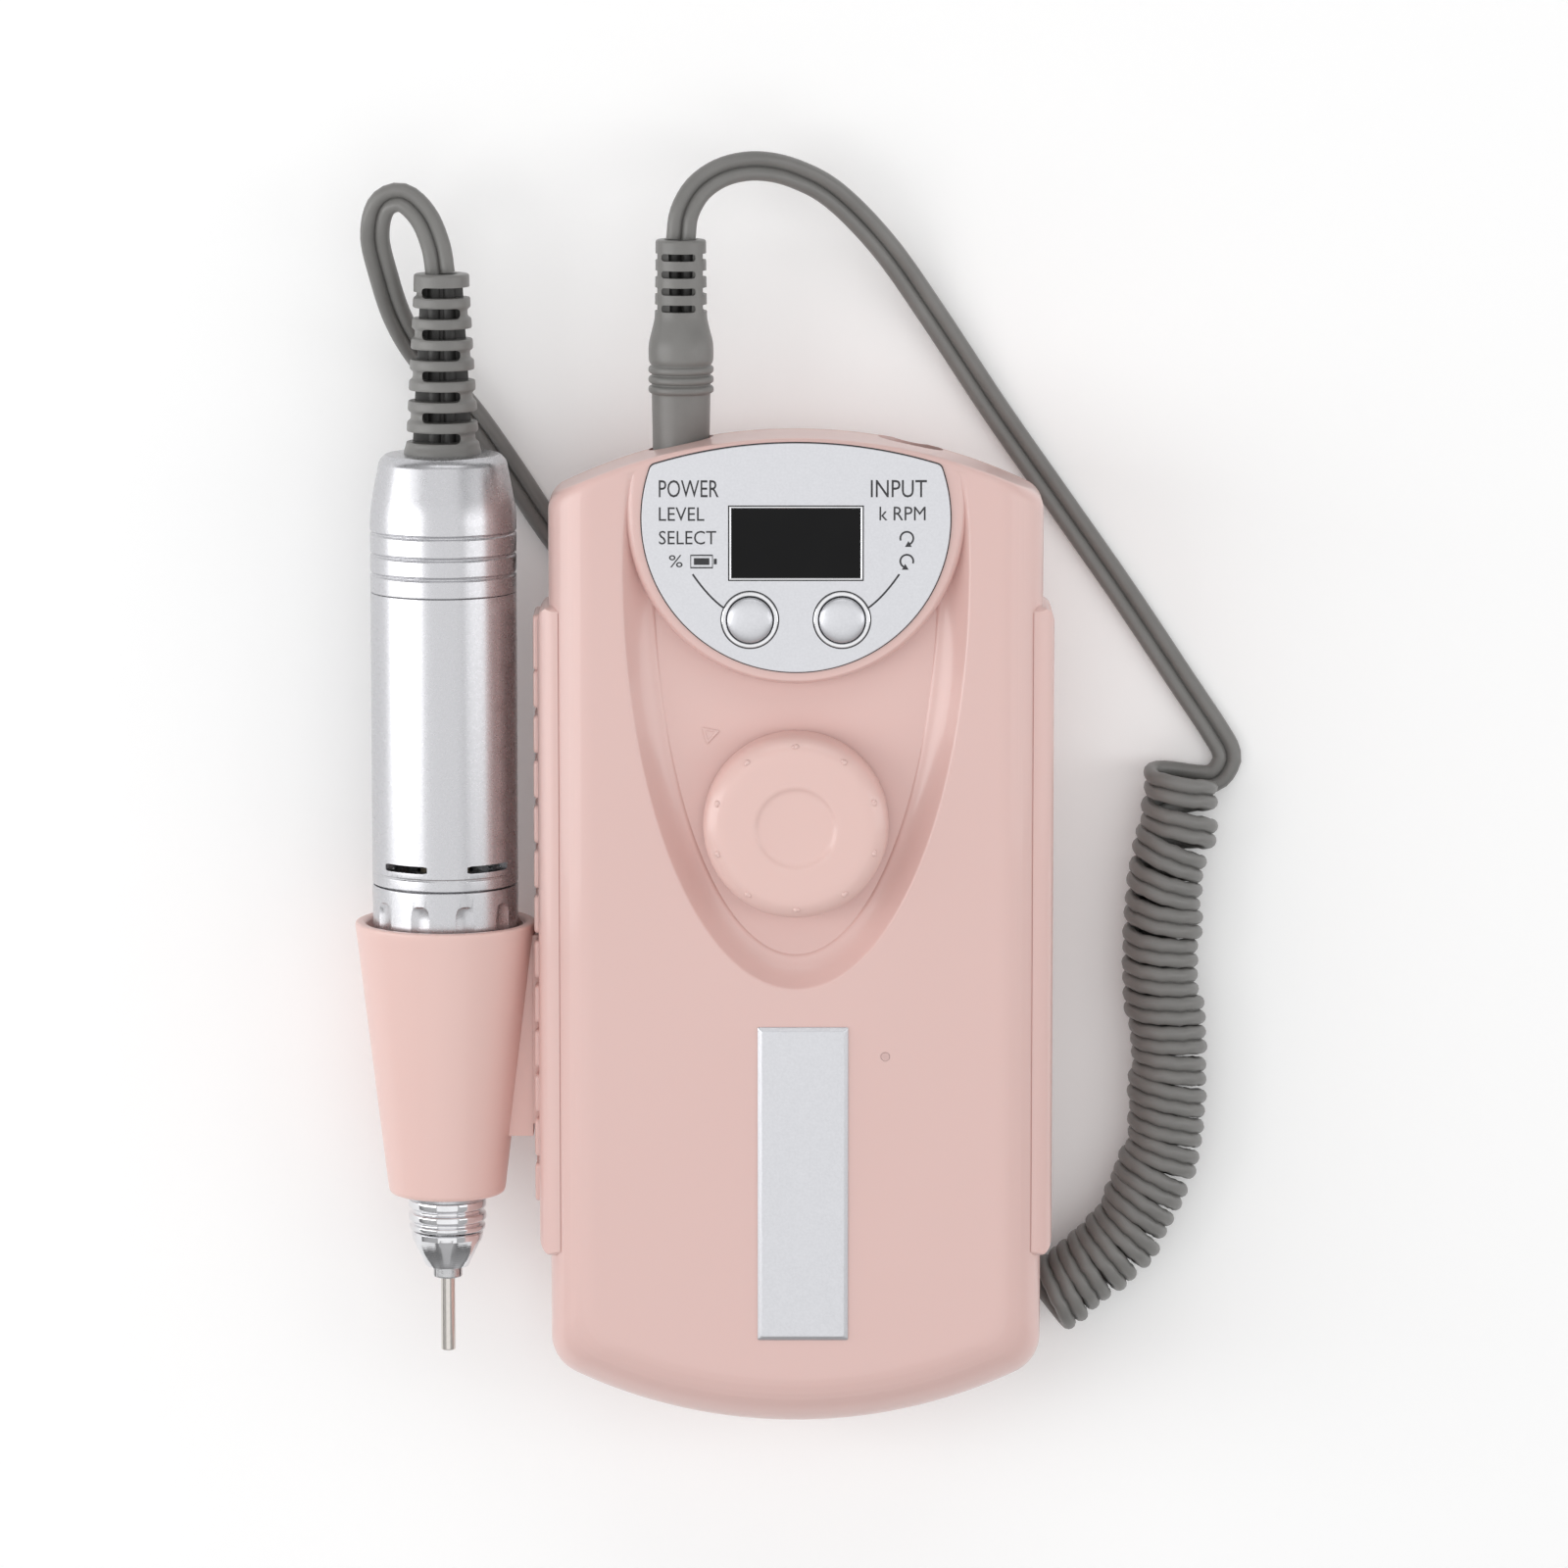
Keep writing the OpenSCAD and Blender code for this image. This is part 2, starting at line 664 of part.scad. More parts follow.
module barrel() {
    vents = 5;
    vent_arc = 40;
    vent_h = 1;
    color(satin) place() difference() {
        axial_tube(barrel_y0, cap_y0 - 0.05, barrel_r, 10.5);
        for (i = [0 : vents - 1])
            on_handpiece() translate([0, 0, 10.8 - vent_h / 2]) rotate(-90 - 52 - 72 * i)
                rotate_extrude(angle = vent_arc, $fn = 96)
                    translate([10, 0]) square([3, vent_h]);
    }
}

module motor_can() {
    color(steel) place() {
        axial_tube(20, 49, 10.4, 9.5);
        axial_tube(18.8, 20, 10.4, 2.2);
        axial_tube(49, 50.2, 10.4, 2.2);
    }
}

module field_magnets() {
    arc = 130;
    color([0.22, 0.22, 0.24]) place() for (a = [0, 180])
        on_handpiece() translate([0, 0, 22]) rotate(a - arc / 2)
            rotate_extrude(angle = arc, $fn = 64) translate([7.6, 0]) square([1.85, 18]);
}

module motor_brushes() {
    color([0.18, 0.15, 0.13]) place() for (side = [-1, 1])
        translate([hand_x + side * 4.15 - 1.5, 43.5, axis_z - 1]) cube([3, 3, 2]);
}

module motor_bearings() {
    color(chrome) place() {
        axial_tube(16.8, 18.8, 4, 1.5 + fit);
        axial_tube(50.2, 52.2, 4, 1.5 + fit);
    }
}

module rotor_core() {
    poles = 3;
    slot_w = 3;
    color(copper) place() difference() {
        axial_tube(24, 38, 7.2, 1.5);
        for (i = [0 : poles - 1])
            on_handpiece() rotate(120 * i) translate([4, -slot_w / 2, 23]) cube([5, slot_w, 16]);
    }
}

module commutator() {
    color(copper) place() axial_tube(42, 48, 2.6, 1.5);
}

module motor_shaft() {
    color(steel) place() axial_tube(11, 53, 1.5);
}

module cooling_fan() {
    blades = 8;
    color(black) place() {
        axial_tube(14, 15, 9, 1.5);
        for (i = [0 : blades - 1])
            on_handpiece() rotate(45 * i) translate([3, -0.4, 14.9]) cube([6, 0.8, 1.4]);
    }
}

module shaft_coupling() {
    color([0.85, 0.8, 0.7]) place() difference() {
        axial_tube(3, 13.5, 4);
        axial_tube(11, 14, 1.5);
        axial_tube(2, 7, 3);
    }
}

module spindle() {
    color(steel) place() difference() {
        axial_tube(-51.6, 7, 3);
        axial_tube(-52, -30, 2.05);
    }
}

module spindle_bearings() {
    color(chrome) place() {
        axial_tube(-6, -2, 5.6, 3 + fit);
        axial_tube(-44, -40, 5.6, 3 + fit);
    }
}

// Carries both spindle bearings and screws into the front of the barrel
module bearing_tube() {
    color(satin) place() {
        axial_tube(-45.3, -1, 6.2, 5.6);
        axial_tube(0.5, 3, 6.6, 4.6);
        axial_tube(-1.02, 0.52, 6.6, 4.6);
        axial_tube(2.5, 7.1, 6.6, 4.6);
        axial_tube(7.1, 9.2, 10.5, 4.6);
    }
}

// Grip that turns to lock and open the collet, with flutes at its upper end
module grip_sleeve() {
    flutes = 10;
    color(satin) place() difference() {
        on_handpiece() rotate_extrude($fn = 96) polygon([[7, barrel_y0 - 0.2],
            [barrel_r, barrel_y0 - 0.2], [barrel_r, -1], [10.6, -8], [6.6, sleeve_y0 + 1.4],
            [6.5, sleeve_y0], [6.2 + fit, sleeve_y0], [6.2 + fit, sleeve_y0 + 4], [7, sleeve_y0 + 12]]);
        for (i = [0 : flutes - 1])
            on_handpiece() rotate(36 * i) translate([barrel_r + 2.2, 0, -7]) {
                cylinder(h = 11, r = 2.8, $fn = 32);
                translate([0, 0, 11]) sphere(r = 2.8, $fn = 32);
            }
    }
}

module nose_ring() {
    color(chrome) place() on_handpiece() rotate_extrude($fn = 96) polygon([[3.3, sleeve_y0],
        [6.4, sleeve_y0], [6.4, -46.8], [5.9, -47.1], [5.9, -47.5], [6.4, -47.8], [6.4, -48.9],
        [5.9, -49.2], [5.9, -49.5], [6.3, -49.8], [6.2, ring_y0], [3.3, ring_y0]]);
}

// Spins with the bit; six flats round its cone
module collet_nut() {
    color(chrome) place() difference() {
        on_handpiece() rotate_extrude($fn = 96) polygon([[3.02, ring_y0 - 0.3],
            [5.9, ring_y0 - 0.3], [5.7, -52.4], [3.6, nut_y0], [2.4, nut_y0], [2.4, -52.2],
            [3.02, -52.2]]);
        for (i = [0 : 5])
            on_handpiece() rotate(60 * i) translate([4.9, -3, nut_y0 - 1]) rotate([0, 14, 0])
                cube([4, 6, 6]);
    }
}

module collet() {
    color(steel) place() {
        axial_tube(collet_y0, -52.2, 2.35, shank_r);
        axial_tube(-52.25, -36, 2, shank_r);
    }
}

// A short neck parts its free end from the stretch that the collet grips
module bit_shank() {
    free_y1 = collet_y0 - 0.2;
    neck_h = 0.8;
    color(chrome) place() {
        axial_tube(shank_y0, free_y1, shank_r);
        axial_tube(free_y1, free_y1 + neck_h, shank_r - 0.22);
        axial_tube(free_y1 + neck_h, -35, shank_r - 0.01);
    }
}

// ---- Plug and lead ----

module plug_body() {
    ridge_ys = [87.7, 89.3, 90.9];
    rib_h = 3.2;
    slot_h = 1.5;
    first_slot_y = 100.8;
    color(cord_grey) place() translate([-socket_x, 0, axis_z]) difference() {
        union() {
            rotate([-90, 0, 0]) rotate_extrude($fn = 64) polygon([[0, plug_y0], [4.6, plug_y0],
                [4.8, 87], [5.25, 92], [5.3, 95.4], [4.6, 98], [4.2, 99.6], [4.1, plug_y1 - 3.4],
                [4.1, plug_y1 - 0.6], [3.6, plug_y1], [0, plug_y1]]);
            for (y = ridge_ys) translate([0, y, 0]) rotate([-90, 0, 0])
                cylinder(h = 0.7, r = 5.3, $fn = 64);
        }
        for (i = [0 : 2], side = [-1, 1])
            translate([side > 0 ? 1.4 : -6.4, first_slot_y + rib_h * i, -6])
                cube([5, slot_h, 12]);
        translate([0, plug_y0 - 1, 0]) rotate([-90, 0, 0]) cylinder(h = 6, r = 2.75, $fn = 48);
    }
}

module plug_barrel() {
    color(chrome) place() translate([-socket_x, 0, axis_z]) rotate([-90, 0, 0]) difference() {
        translate([0, 0, nose_y - 9]) cylinder(h = 14.2, r = 2.75, $fn = 48);
        translate([0, 0, nose_y - 10]) cylinder(h = 10, r = 1.1, $fn = 32);
    }
}

function unit(v) = v / norm(v);

function tangent(route, i) =
    unit(route[min(i + 1, len(route) - 1)] - route[max(i - 1, 0)]);

// Ring of points round one point of a route, flat side to the ground
function ring(route, i, width, height, sides) =
    let (t = tangent(route, i), across = unit(cross(t, [0, 0, 1])), up = cross(across, t))
    [for (k = [0 : sides - 1]) let (a = 360 * (k + 0.5) / sides)
        route[i] + across * width / 2 * cos(a) + up * height / 2 * sin(a)];

// One closed tube swept along a route
module sweep(route, width, height, sides) {
    loft([for (i = [0 : len(route) - 1]) ring(route, i, width, height, sides)]);
}

module cord_loop() {
    color(cord_grey) place() sweep(loop_route, lead_w, lead_t, 8);
}

module cord_under_case() {
    color(cord_grey) place() sweep(under_route, lead_w, lead_t, 8);
}

module cord_coil() {
    color(cord_grey) place() sweep(coil_route, coil_d, coil_d, 12);
}

module cord_plug_lead() {
    color(cord_grey) place() sweep(plug_route, lead_w, lead_t, 8);
}

front_shell();
rear_shell();
face_plate();
display_window();
display_module();
button_bezels();
left_button();
right_button();
tact_switches();
speed_knob();
potentiometer();
potentiometer_shaft();
main_board();
battery_cells();
battery_tray();
battery_strips();
battery_leads();
name_plate();
charge_led();
left_rail();
right_rail();
output_socket();
charge_socket();
case_screws();
rubber_feet();
handpiece_holder();
strain_relief();
tail_cap();
barrel();
motor_can();
field_magnets();
motor_brushes();
motor_bearings();
rotor_core();
commutator();
motor_shaft();
cooling_fan();
shaft_coupling();
spindle();
spindle_bearings();
bearing_tube();
grip_sleeve();
nose_ring();
collet_nut();
collet();
bit_shank();
plug_body();
plug_barrel();
cord_loop();
cord_under_case();
cord_coil();
cord_plug_lead();
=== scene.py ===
"""Looks of the portable electric nail drill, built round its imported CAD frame.

Shapes are written in millimetres from the middle of the case, as in the CAD source, and at()
puts each point in the frame's metres. The case lies on its back, its socket end towards +Y.
"""

import math

import bmesh
import bpy
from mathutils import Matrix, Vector
from mathutils.geometry import delaunay_2d_cdt


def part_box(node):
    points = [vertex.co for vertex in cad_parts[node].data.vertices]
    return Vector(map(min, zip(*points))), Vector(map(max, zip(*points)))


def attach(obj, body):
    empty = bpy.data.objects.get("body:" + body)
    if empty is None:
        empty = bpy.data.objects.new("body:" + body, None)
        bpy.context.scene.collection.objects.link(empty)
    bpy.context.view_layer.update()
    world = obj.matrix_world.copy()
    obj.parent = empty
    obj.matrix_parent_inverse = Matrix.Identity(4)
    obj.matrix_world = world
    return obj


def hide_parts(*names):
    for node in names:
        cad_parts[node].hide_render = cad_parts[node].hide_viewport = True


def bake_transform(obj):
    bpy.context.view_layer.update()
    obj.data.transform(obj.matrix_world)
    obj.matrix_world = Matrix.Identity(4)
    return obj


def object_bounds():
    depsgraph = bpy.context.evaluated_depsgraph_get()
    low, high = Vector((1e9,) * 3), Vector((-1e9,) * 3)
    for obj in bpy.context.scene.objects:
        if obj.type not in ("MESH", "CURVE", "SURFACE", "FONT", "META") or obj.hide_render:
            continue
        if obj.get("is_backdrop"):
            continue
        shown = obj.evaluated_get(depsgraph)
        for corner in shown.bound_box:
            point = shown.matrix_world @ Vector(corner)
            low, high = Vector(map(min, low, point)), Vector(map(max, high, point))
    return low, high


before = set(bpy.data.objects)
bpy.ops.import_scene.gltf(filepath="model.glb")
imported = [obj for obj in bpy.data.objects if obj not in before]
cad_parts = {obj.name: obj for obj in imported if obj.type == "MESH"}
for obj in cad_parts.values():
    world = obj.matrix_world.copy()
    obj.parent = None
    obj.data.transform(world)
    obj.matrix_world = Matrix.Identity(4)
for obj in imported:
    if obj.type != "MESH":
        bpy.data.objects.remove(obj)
cad_low, cad_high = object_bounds()

MM = 0.001
shell_low, shell_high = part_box("front_shell")
ORIGIN = Vector(((shell_low.x + shell_high.x) / 2, (shell_low.y + shell_high.y) / 2, 0))


def at(x, y, z=0.0):
    return ORIGIN + Vector((x, y, z)) * MM


def extent(node):
    """A CAD node's lowest and highest corners, in millimetres from the case's middle."""
    low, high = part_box(node)
    return (low - ORIGIN) / MM, (high - ORIGIN) / MM


# ---- Sizes read from the frame ----

SIDE_X = extent("front_shell")[1].x
END_Y = extent("front_shell")[1].y
PART_Z = extent("front_shell")[0].z
FACE_Z = extent("front_shell")[1].z
BACK_Z = extent("rear_shell")[0].z
PLATE_Z = extent("face_plate")[1].z
HAND_X = sum(v.x for v in extent("barrel")) / 2
AXIS_Z = sum(v.z for v in extent("barrel")) / 2
BARREL_R = (extent("barrel")[1].x - extent("barrel")[0].x) / 2
PLUG_X = sum(v.x for v in extent("plug_body")) / 2
KNOB_Y = sum(v.y for v in extent("speed_knob")) / 2
KNOB_R = (extent("speed_knob")[1].x - extent("speed_knob")[0].x) / 2
BUTTON_X = sum(v.x for v in extent("right_button")) / 2
BUTTON_Y = sum(v.y for v in extent("right_button")) / 2

# ---- Camera ----

CAMERA_AIM = at(-1.92, 23.3, AXIS_Z)
CAMERA_TILT = math.radians(8.5)
CAMERA_DISTANCE = 1280 * MM
FIELD_W = 256 * MM
SENSOR_W = 36

camera = bpy.data.cameras.new("camera")
camera.sensor_width = SENSOR_W
camera.lens = SENSOR_W * CAMERA_DISTANCE / FIELD_W
camera_object = bpy.data.objects.new("camera", camera)
towards_camera = Vector((0, math.sin(CAMERA_TILT), math.cos(CAMERA_TILT)))
camera_object.location = CAMERA_AIM + towards_camera * CAMERA_DISTANCE
camera_object.rotation_euler = (-CAMERA_TILT, 0, 0)
bpy.context.collection.objects.link(camera_object)
bpy.context.scene.camera = camera_object
bpy.context.scene.view_settings.view_transform = "Standard"

# ---- Materials ----


class Finish:
    """A Principled material, with helpers that build its detail from the place on the piece."""

    def __init__(self, name, colour, roughness, metallic=0.0, **inputs):
        self.material = bpy.data.materials.new(name)
        self.material.use_nodes = True
        self.tree = self.material.node_tree
        self.shader = self.tree.nodes["Principled BSDF"]
        self.colour = colour
        self.height = None
        self.set("Base Color", (*colour, 1))
        self.set("Roughness", roughness)
        self.set("Metallic", metallic)
        for socket, value in inputs.items():
            self.set(socket.replace("_", " "), value)

    def set(self, socket, value):
        self.shader.inputs[socket].default_value = value

    def node(self, kind, **inputs):
        made = self.tree.nodes.new(kind)
        for socket, value in inputs.items():
            made.inputs[socket.replace("_", " ")].default_value = value
        return made

    def link(self, source, target):
        self.tree.links.new(source, target)

    def place(self, stretch=(1, 1, 1), turn=(0, 0, 0)):
        """The place on the piece, in metres, stretched along each axis."""
        texture = self.node("ShaderNodeTexCoord")
        mapping = self.node("ShaderNodeMapping", Scale=stretch, Rotation=turn)
        self.link(texture.outputs["Object"], mapping.inputs["Vector"])
        return mapping.outputs["Vector"]

    def noise(self, size_mm, detail=2.0, stretch=(1, 1, 1)):
        made = self.node("ShaderNodeTexNoise", Scale=1 / (size_mm * MM), Detail=detail)
        self.link(self.place(stretch), made.inputs["Vector"])
        return made.outputs["Fac"]

    def waves(self, pitch_mm, direction, distortion=0.0):
        made = self.node("ShaderNodeTexWave", Scale=math.pi / (10 * pitch_mm * MM),
                         Distortion=distortion)
        made.bands_direction = direction
        self.link(self.place(), made.inputs["Vector"])
        return made.outputs["Fac"]

    def cells(self, size_mm, feature="F1"):
        made = self.node("ShaderNodeTexVoronoi", Scale=1 / (size_mm * MM))
        made.feature = feature
        self.link(self.place(), made.inputs["Vector"])
        return made.outputs["Distance"]

    def spread(self, value, low, high, start=0.3, stop=0.7):
        """A pattern's value turned into a number between low and high."""
        made = self.node("ShaderNodeMapRange")
        made.inputs["From Min"].default_value = start
        made.inputs["From Max"].default_value = stop
        made.inputs["To Min"].default_value = low
        made.inputs["To Max"].default_value = high
        self.link(value, made.inputs["Value"])
        return made.outputs["Result"]

    def tint(self, value, other, start=0.3, stop=0.7):
        """Mixes another colour into the base colour where a pattern is high."""
        mix = self.node("ShaderNodeMix")
        mix.data_type = "RGBA"
        mix.inputs[6].default_value = (*self.colour, 1)
        mix.inputs[7].default_value = (*other, 1)
        self.link(self.spread(value, 0, 1, start, stop), mix.inputs["Factor"])
        self.link(mix.outputs[2], self.shader.inputs["Base Color"])
        return self

    def polish(self, value, low, high, start=0.3, stop=0.7):
        self.link(self.spread(value, low, high, start, stop), self.shader.inputs["Roughness"])
        return self

    def relief(self, value, depth_mm, strength=1.0):
        """Adds fine relief, on top of any that is already there."""
        made = self.node("ShaderNodeBump", Strength=strength, Distance=depth_mm * MM)
        self.link(value, made.inputs["Height"])
        if self.height is not None:
            self.link(self.height, made.inputs["Normal"])
        self.height = made.outputs["Normal"]
        self.link(self.height, self.shader.inputs["Normal"])
        return self


def shade(colour, amount):
    return tuple(channel * amount for channel in colour)


SHELL = (0.765, 0.525, 0.488)
KNOB = (0.815, 0.560, 0.515)
GREY = (0.205, 0.201, 0.193)
SATIN = (0.700, 0.705, 0.735)
ALUMINIUM = (0.575, 0.575, 0.597)
STEEL = (0.560, 0.560, 0.570)
BIT = (0.690, 0.655, 0.620)


def moulded_gloss(name, colour, roughness, coat):
    finish = Finish(name, colour, roughness, Coat_Weight=coat, Coat_Roughness=0.05,
                    IOR=1.5, Subsurface_Weight=0.06, Subsurface_Scale=0.002)
    finish.set("Subsurface Radius", (1.0, 0.55, 0.45))
    finish.tint(finish.noise(40, 1), shade(colour, 0.97), 0, 1)
    finish.polish(finish.noise(14, 1), roughness * 0.92, roughness * 1.08, 0, 1)
    finish.relief(finish.noise(1.4, 1), 0.0015)
    return finish.material


def moulded_matt(name, colour, roughness, grain_mm=0.35, depth_mm=0.02):
    finish = Finish(name, colour, roughness)
    finish.tint(finish.noise(6, 3), shade(colour, 0.90))
    finish.polish(finish.noise(1.2, 3), roughness * 0.88, roughness * 1.1)
    finish.relief(finish.noise(grain_mm, 3), depth_mm)
    return finish.material


def grained_metal(name, colour, roughness, grain_mm, depth_mm):
    finish = Finish(name, colour, roughness, metallic=1.0)
    finish.tint(finish.noise(grain_mm, 2), shade(colour, 0.95))
    finish.polish(finish.noise(grain_mm * 2, 3), roughness * 0.92, roughness * 1.1)
    finish.relief(finish.noise(grain_mm, 2), depth_mm)
    return finish.material


def turned_metal(name, colour, roughness, pitch_mm, direction, depth_mm=0.003):
    finish = Finish(name, colour, roughness, metallic=1.0)
    finish.tint(finish.noise(3, 3), shade(colour, 0.9))
    finish.polish(finish.noise(0.8, 4), roughness * 0.7, roughness * 1.4)
    finish.relief(finish.waves(pitch_mm, direction, 0.6), depth_mm)
    return finish.material


def screen_glass():
    finish = Finish("display_glass", (0.0020, 0.0020, 0.0024), 0.07, IOR=1.25)
    finish.tint(finish.noise(9, 2), (0.0035, 0.0035, 0.0040))
    finish.polish(finish.noise(4, 3), 0.05, 0.10)
    return finish.material


def board_laminate():
    finish = Finish("circuit_board", (0.020, 0.130, 0.050), 0.35, Coat_Weight=0.5)
    finish.tint(finish.cells(2.4, "DISTANCE_TO_EDGE"), (0.030, 0.200, 0.075), 0.05, 0.09)
    finish.relief(finish.cells(2.4, "DISTANCE_TO_EDGE"), 0.03)
    return finish.material


def printed_wrap():
    finish = Finish("cell_wrap", (0.050, 0.160, 0.420), 0.30, Coat_Weight=0.4)
    finish.tint(finish.waves(32, "Y"), (0.040, 0.120, 0.330), 0.45, 0.55)
    finish.relief(finish.noise(2.5, 2, (1, 0.2, 1)), 0.02)
    return finish.material


def wound_copper():
    finish = Finish("copper_winding", (0.720, 0.330, 0.160), 0.32, metallic=1.0)
    finish.tint(finish.waves(0.5, "Y"), (0.430, 0.180, 0.080))
    finish.relief(finish.waves(0.5, "Y"), 0.08)
    return finish.material


def floor_paper():
    finish = Finish("pale_floor", (0.97, 0.97, 0.97), 0.85, Emission_Strength=0.06)
    finish.polish(finish.noise(30, 2), 0.82, 0.88)
    return finish.material


shell_plastic = moulded_gloss("shell_plastic", SHELL, 0.31, 0.30)
knob_plastic = moulded_gloss("knob_plastic", KNOB, 0.30, 0.20)
holder_plastic = moulded_gloss("holder_plastic", KNOB, 0.34, 0.10)
grey_rubber = moulded_matt("grey_rubber", GREY, 0.38)
# The lead's grey darkened to 0.22: painted shade, for the lead and the dark sheet seen inside the
# slotted boots.
painted_shade_rubber = moulded_matt("painted_shade_rubber", shade(GREY, 0.22), 0.50)
black_rubber = moulded_matt("black_rubber", (0.018, 0.018, 0.018), 0.60)
# Black plastic for the switches, sockets, tray and fan; also the painted shadow line round the control
# plate.
black_plastic = moulded_matt("black_plastic", (0.020, 0.020, 0.022), 0.40)
satin_plate = grained_metal("satin_plate", SATIN, 0.42, 0.4, 0.002)
anodised = grained_metal("anodised_aluminium", ALUMINIUM, 0.28, 0.30, 0.0010)
bright_metal = turned_metal("bright_metal", (0.80, 0.80, 0.82), 0.09, 0.35, "Y")
steel = turned_metal("steel", STEEL, 0.28, 0.3, "Y")
bit_steel = grained_metal("bit_steel", BIT, 0.16, 0.8, 0.001)
display_glass = screen_glass()
circuit_board = board_laminate()
cell_wrap = printed_wrap()
copper = wound_copper()
wire_red = moulded_matt("wire_red", (0.50, 0.02, 0.02), 0.40)
led_plastic = moulded_gloss("led_plastic", (0.66, 0.44, 0.41), 0.30, 0.5)
ferrite = moulded_matt("ferrite", (0.045, 0.045, 0.050), 0.55, 0.6, 0.05)
carbon = moulded_matt("carbon", (0.030, 0.026, 0.024), 0.60)
coupling_plastic = moulded_matt("coupling_plastic", (0.62, 0.55, 0.42), 0.42)
# Black ink for the print on the plate; also the painted shade rings in the gaps round the button
# bezels.
ink_and_painted_shade = moulded_matt("ink_and_painted_shade", (0.030, 0.030, 0.034), 0.50, 0.2, 0.002)

# ---- Shape helpers ----

SHARP = math.radians(34)


def finish_piece(obj, body, replaces=(), sharp=SHARP):
    """Gives a piece its shading and its body, and hides the CAD nodes that it stands for."""
    mesh = obj.data
    mesh.shade_smooth()
    mesh.set_sharp_from_angle(angle=sharp)
    even = obj.modifiers.new("even_normals", "WEIGHTED_NORMAL")
    even.keep_sharp = True
    if body:
        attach(obj, body)
    if replaces:
        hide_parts(*replaces)
    return obj


def build(name, points, faces, material):
    """A mesh object from points in millimetres; double points merge and faces turn outwards."""
    mesh = bpy.data.meshes.new(name)
    mesh.from_pydata([at(*p) for p in points], [], faces)
    work = bmesh.new()
    work.from_mesh(mesh)
    bmesh.ops.remove_doubles(work, verts=work.verts, dist=0.0005 * MM)
    bmesh.ops.recalc_face_normals(work, faces=work.faces)
    work.to_mesh(mesh)
    work.free()
    mesh.materials.append(material)
    obj = bpy.data.objects.new(name, mesh)
    bpy.context.collection.objects.link(obj)
    return obj


def rings_to_faces(count, sides, closed=False):
    """Quads between neighbouring rings of a grid of points."""
    faces = []
    for i in range(count if closed else count - 1):
        for k in range(sides):
            a, b = i * sides + k, i * sides + (k + 1) % sides
            c, d = (i + 1) % count * sides + (k + 1) % sides, (i + 1) % count * sides + k
            faces.append((a, b, c, d))
    return faces


def loft(rings, closed=False, caps=True):
    points = [p for ring in rings for p in ring]
    sides = len(rings[0])
    faces = rings_to_faces(len(rings), sides, closed)
    if caps and not closed:
        faces.append(tuple(range(sides))[::-1])
        faces.append(tuple(range(len(points) - sides, len(points))))
    return points, faces


def fillet(points, radius, steps=4, closed=True):
    """Rounds the corners of an outline; radius is one number, or one for each corner."""
    count = len(points)
    radii = radius if isinstance(radius, (list, tuple)) else [radius] * count
    made = []
    for i, (p, r) in enumerate(zip(points, radii)):
        before, after = points[i - 1], points[(i + 1) % count]
        if r == 0 or (not closed and i in (0, count - 1)):
            made.append(tuple(p))
            continue
        corner = Vector(p)
        one, two = Vector(before) - corner, Vector(after) - corner
        start = corner + one.normalized() * min(r, one.length * 0.48)
        stop = corner + two.normalized() * min(r, two.length * 0.48)
        for k in range(steps + 1):
            t = k / steps
            spot = start * (1 - t) ** 2 + corner * 2 * t * (1 - t) + stop * t ** 2
            made.append(tuple(spot))
    return made


def along_y(x, z):
    """Puts a turned shape's radius, angle and station round an axis along Y."""
    return lambda r, a, s: (x + r * math.cos(a), s, z + r * math.sin(a))


def along_z(x, y):
    return lambda r, a, s: (x + r * math.cos(a), y + r * math.sin(a), s)


ON_HANDPIECE = along_y(HAND_X, AXIS_Z)
ON_PLUG = along_y(PLUG_X, AXIS_Z)


def turned(profile, place, sides=128, closed=True):
    """Points and faces of a closed outline of radius and station, turned round an axis."""
    rings = [[place(r, math.tau * k / sides, s) for k in range(sides)] for r, s in profile]
    return loft(rings, closed=closed, caps=False)


def lathe(name, profile, place, material, radius=0.15, sides=128, steps=3):
    points, faces = turned(fillet(profile, radius, steps), place, sides)
    return build(name, points, faces, material)


def box_shape(x0, x1, y0, y1, z0, z1):
    points = [(x, y, z) for z in (z0, z1) for y in (y0, y1) for x in (x0, x1)]
    return points, [(0, 2, 3, 1), (4, 5, 7, 6), (0, 1, 5, 4), (2, 6, 7, 3), (0, 4, 6, 2), (1, 3, 7, 5)]


def joined(*shapes):
    """Several sets of points and faces as one."""
    points, faces = [], []
    for more, sides in shapes:
        shift = len(points)
        points += more
        faces += [tuple(k + shift for k in face) for face in sides]
    return points, faces


def prism(outline, low, high, place):
    """A closed outline of two coordinates, drawn out between two levels."""
    return loft([[place(u, v, level) for u, v in outline] for level in (low, high)])


def settle(obj):
    """Applies a piece's modifiers to its mesh."""
    graph = bpy.context.evaluated_depsgraph_get()
    graph.update()
    mesh = bpy.data.meshes.new_from_object(obj.evaluated_get(graph))
    obj.modifiers.clear()
    obj.data = mesh


def cut(obj, shape, operation="DIFFERENCE"):
    """Cuts a shape of points and faces out of a piece."""
    tool = build(obj.name + "_cutter", *shape, None)
    change = obj.modifiers.new("cut", "BOOLEAN")
    change.operation = operation
    change.solver = "EXACT"
    change.object = tool
    settle(obj)
    bpy.data.objects.remove(tool)


def soften(obj, width, segments=3, angle=30):
    """Rounds a piece's edges."""
    edge = obj.modifiers.new("soft_edges", "BEVEL")
    edge.width = width * MM
    edge.segments = segments
    edge.limit_method = "ANGLE"
    edge.angle_limit = math.radians(angle)
    edge.harden_normals = False
    settle(obj)


# ---- The lead ----

LEAD_T = 2.4
COIL_R = 5.25
COIL_PITCH = 4.9
LOOSE_TURN = 1.5
LOOSE_OVER = 14
LEAD_STEP = 1.1

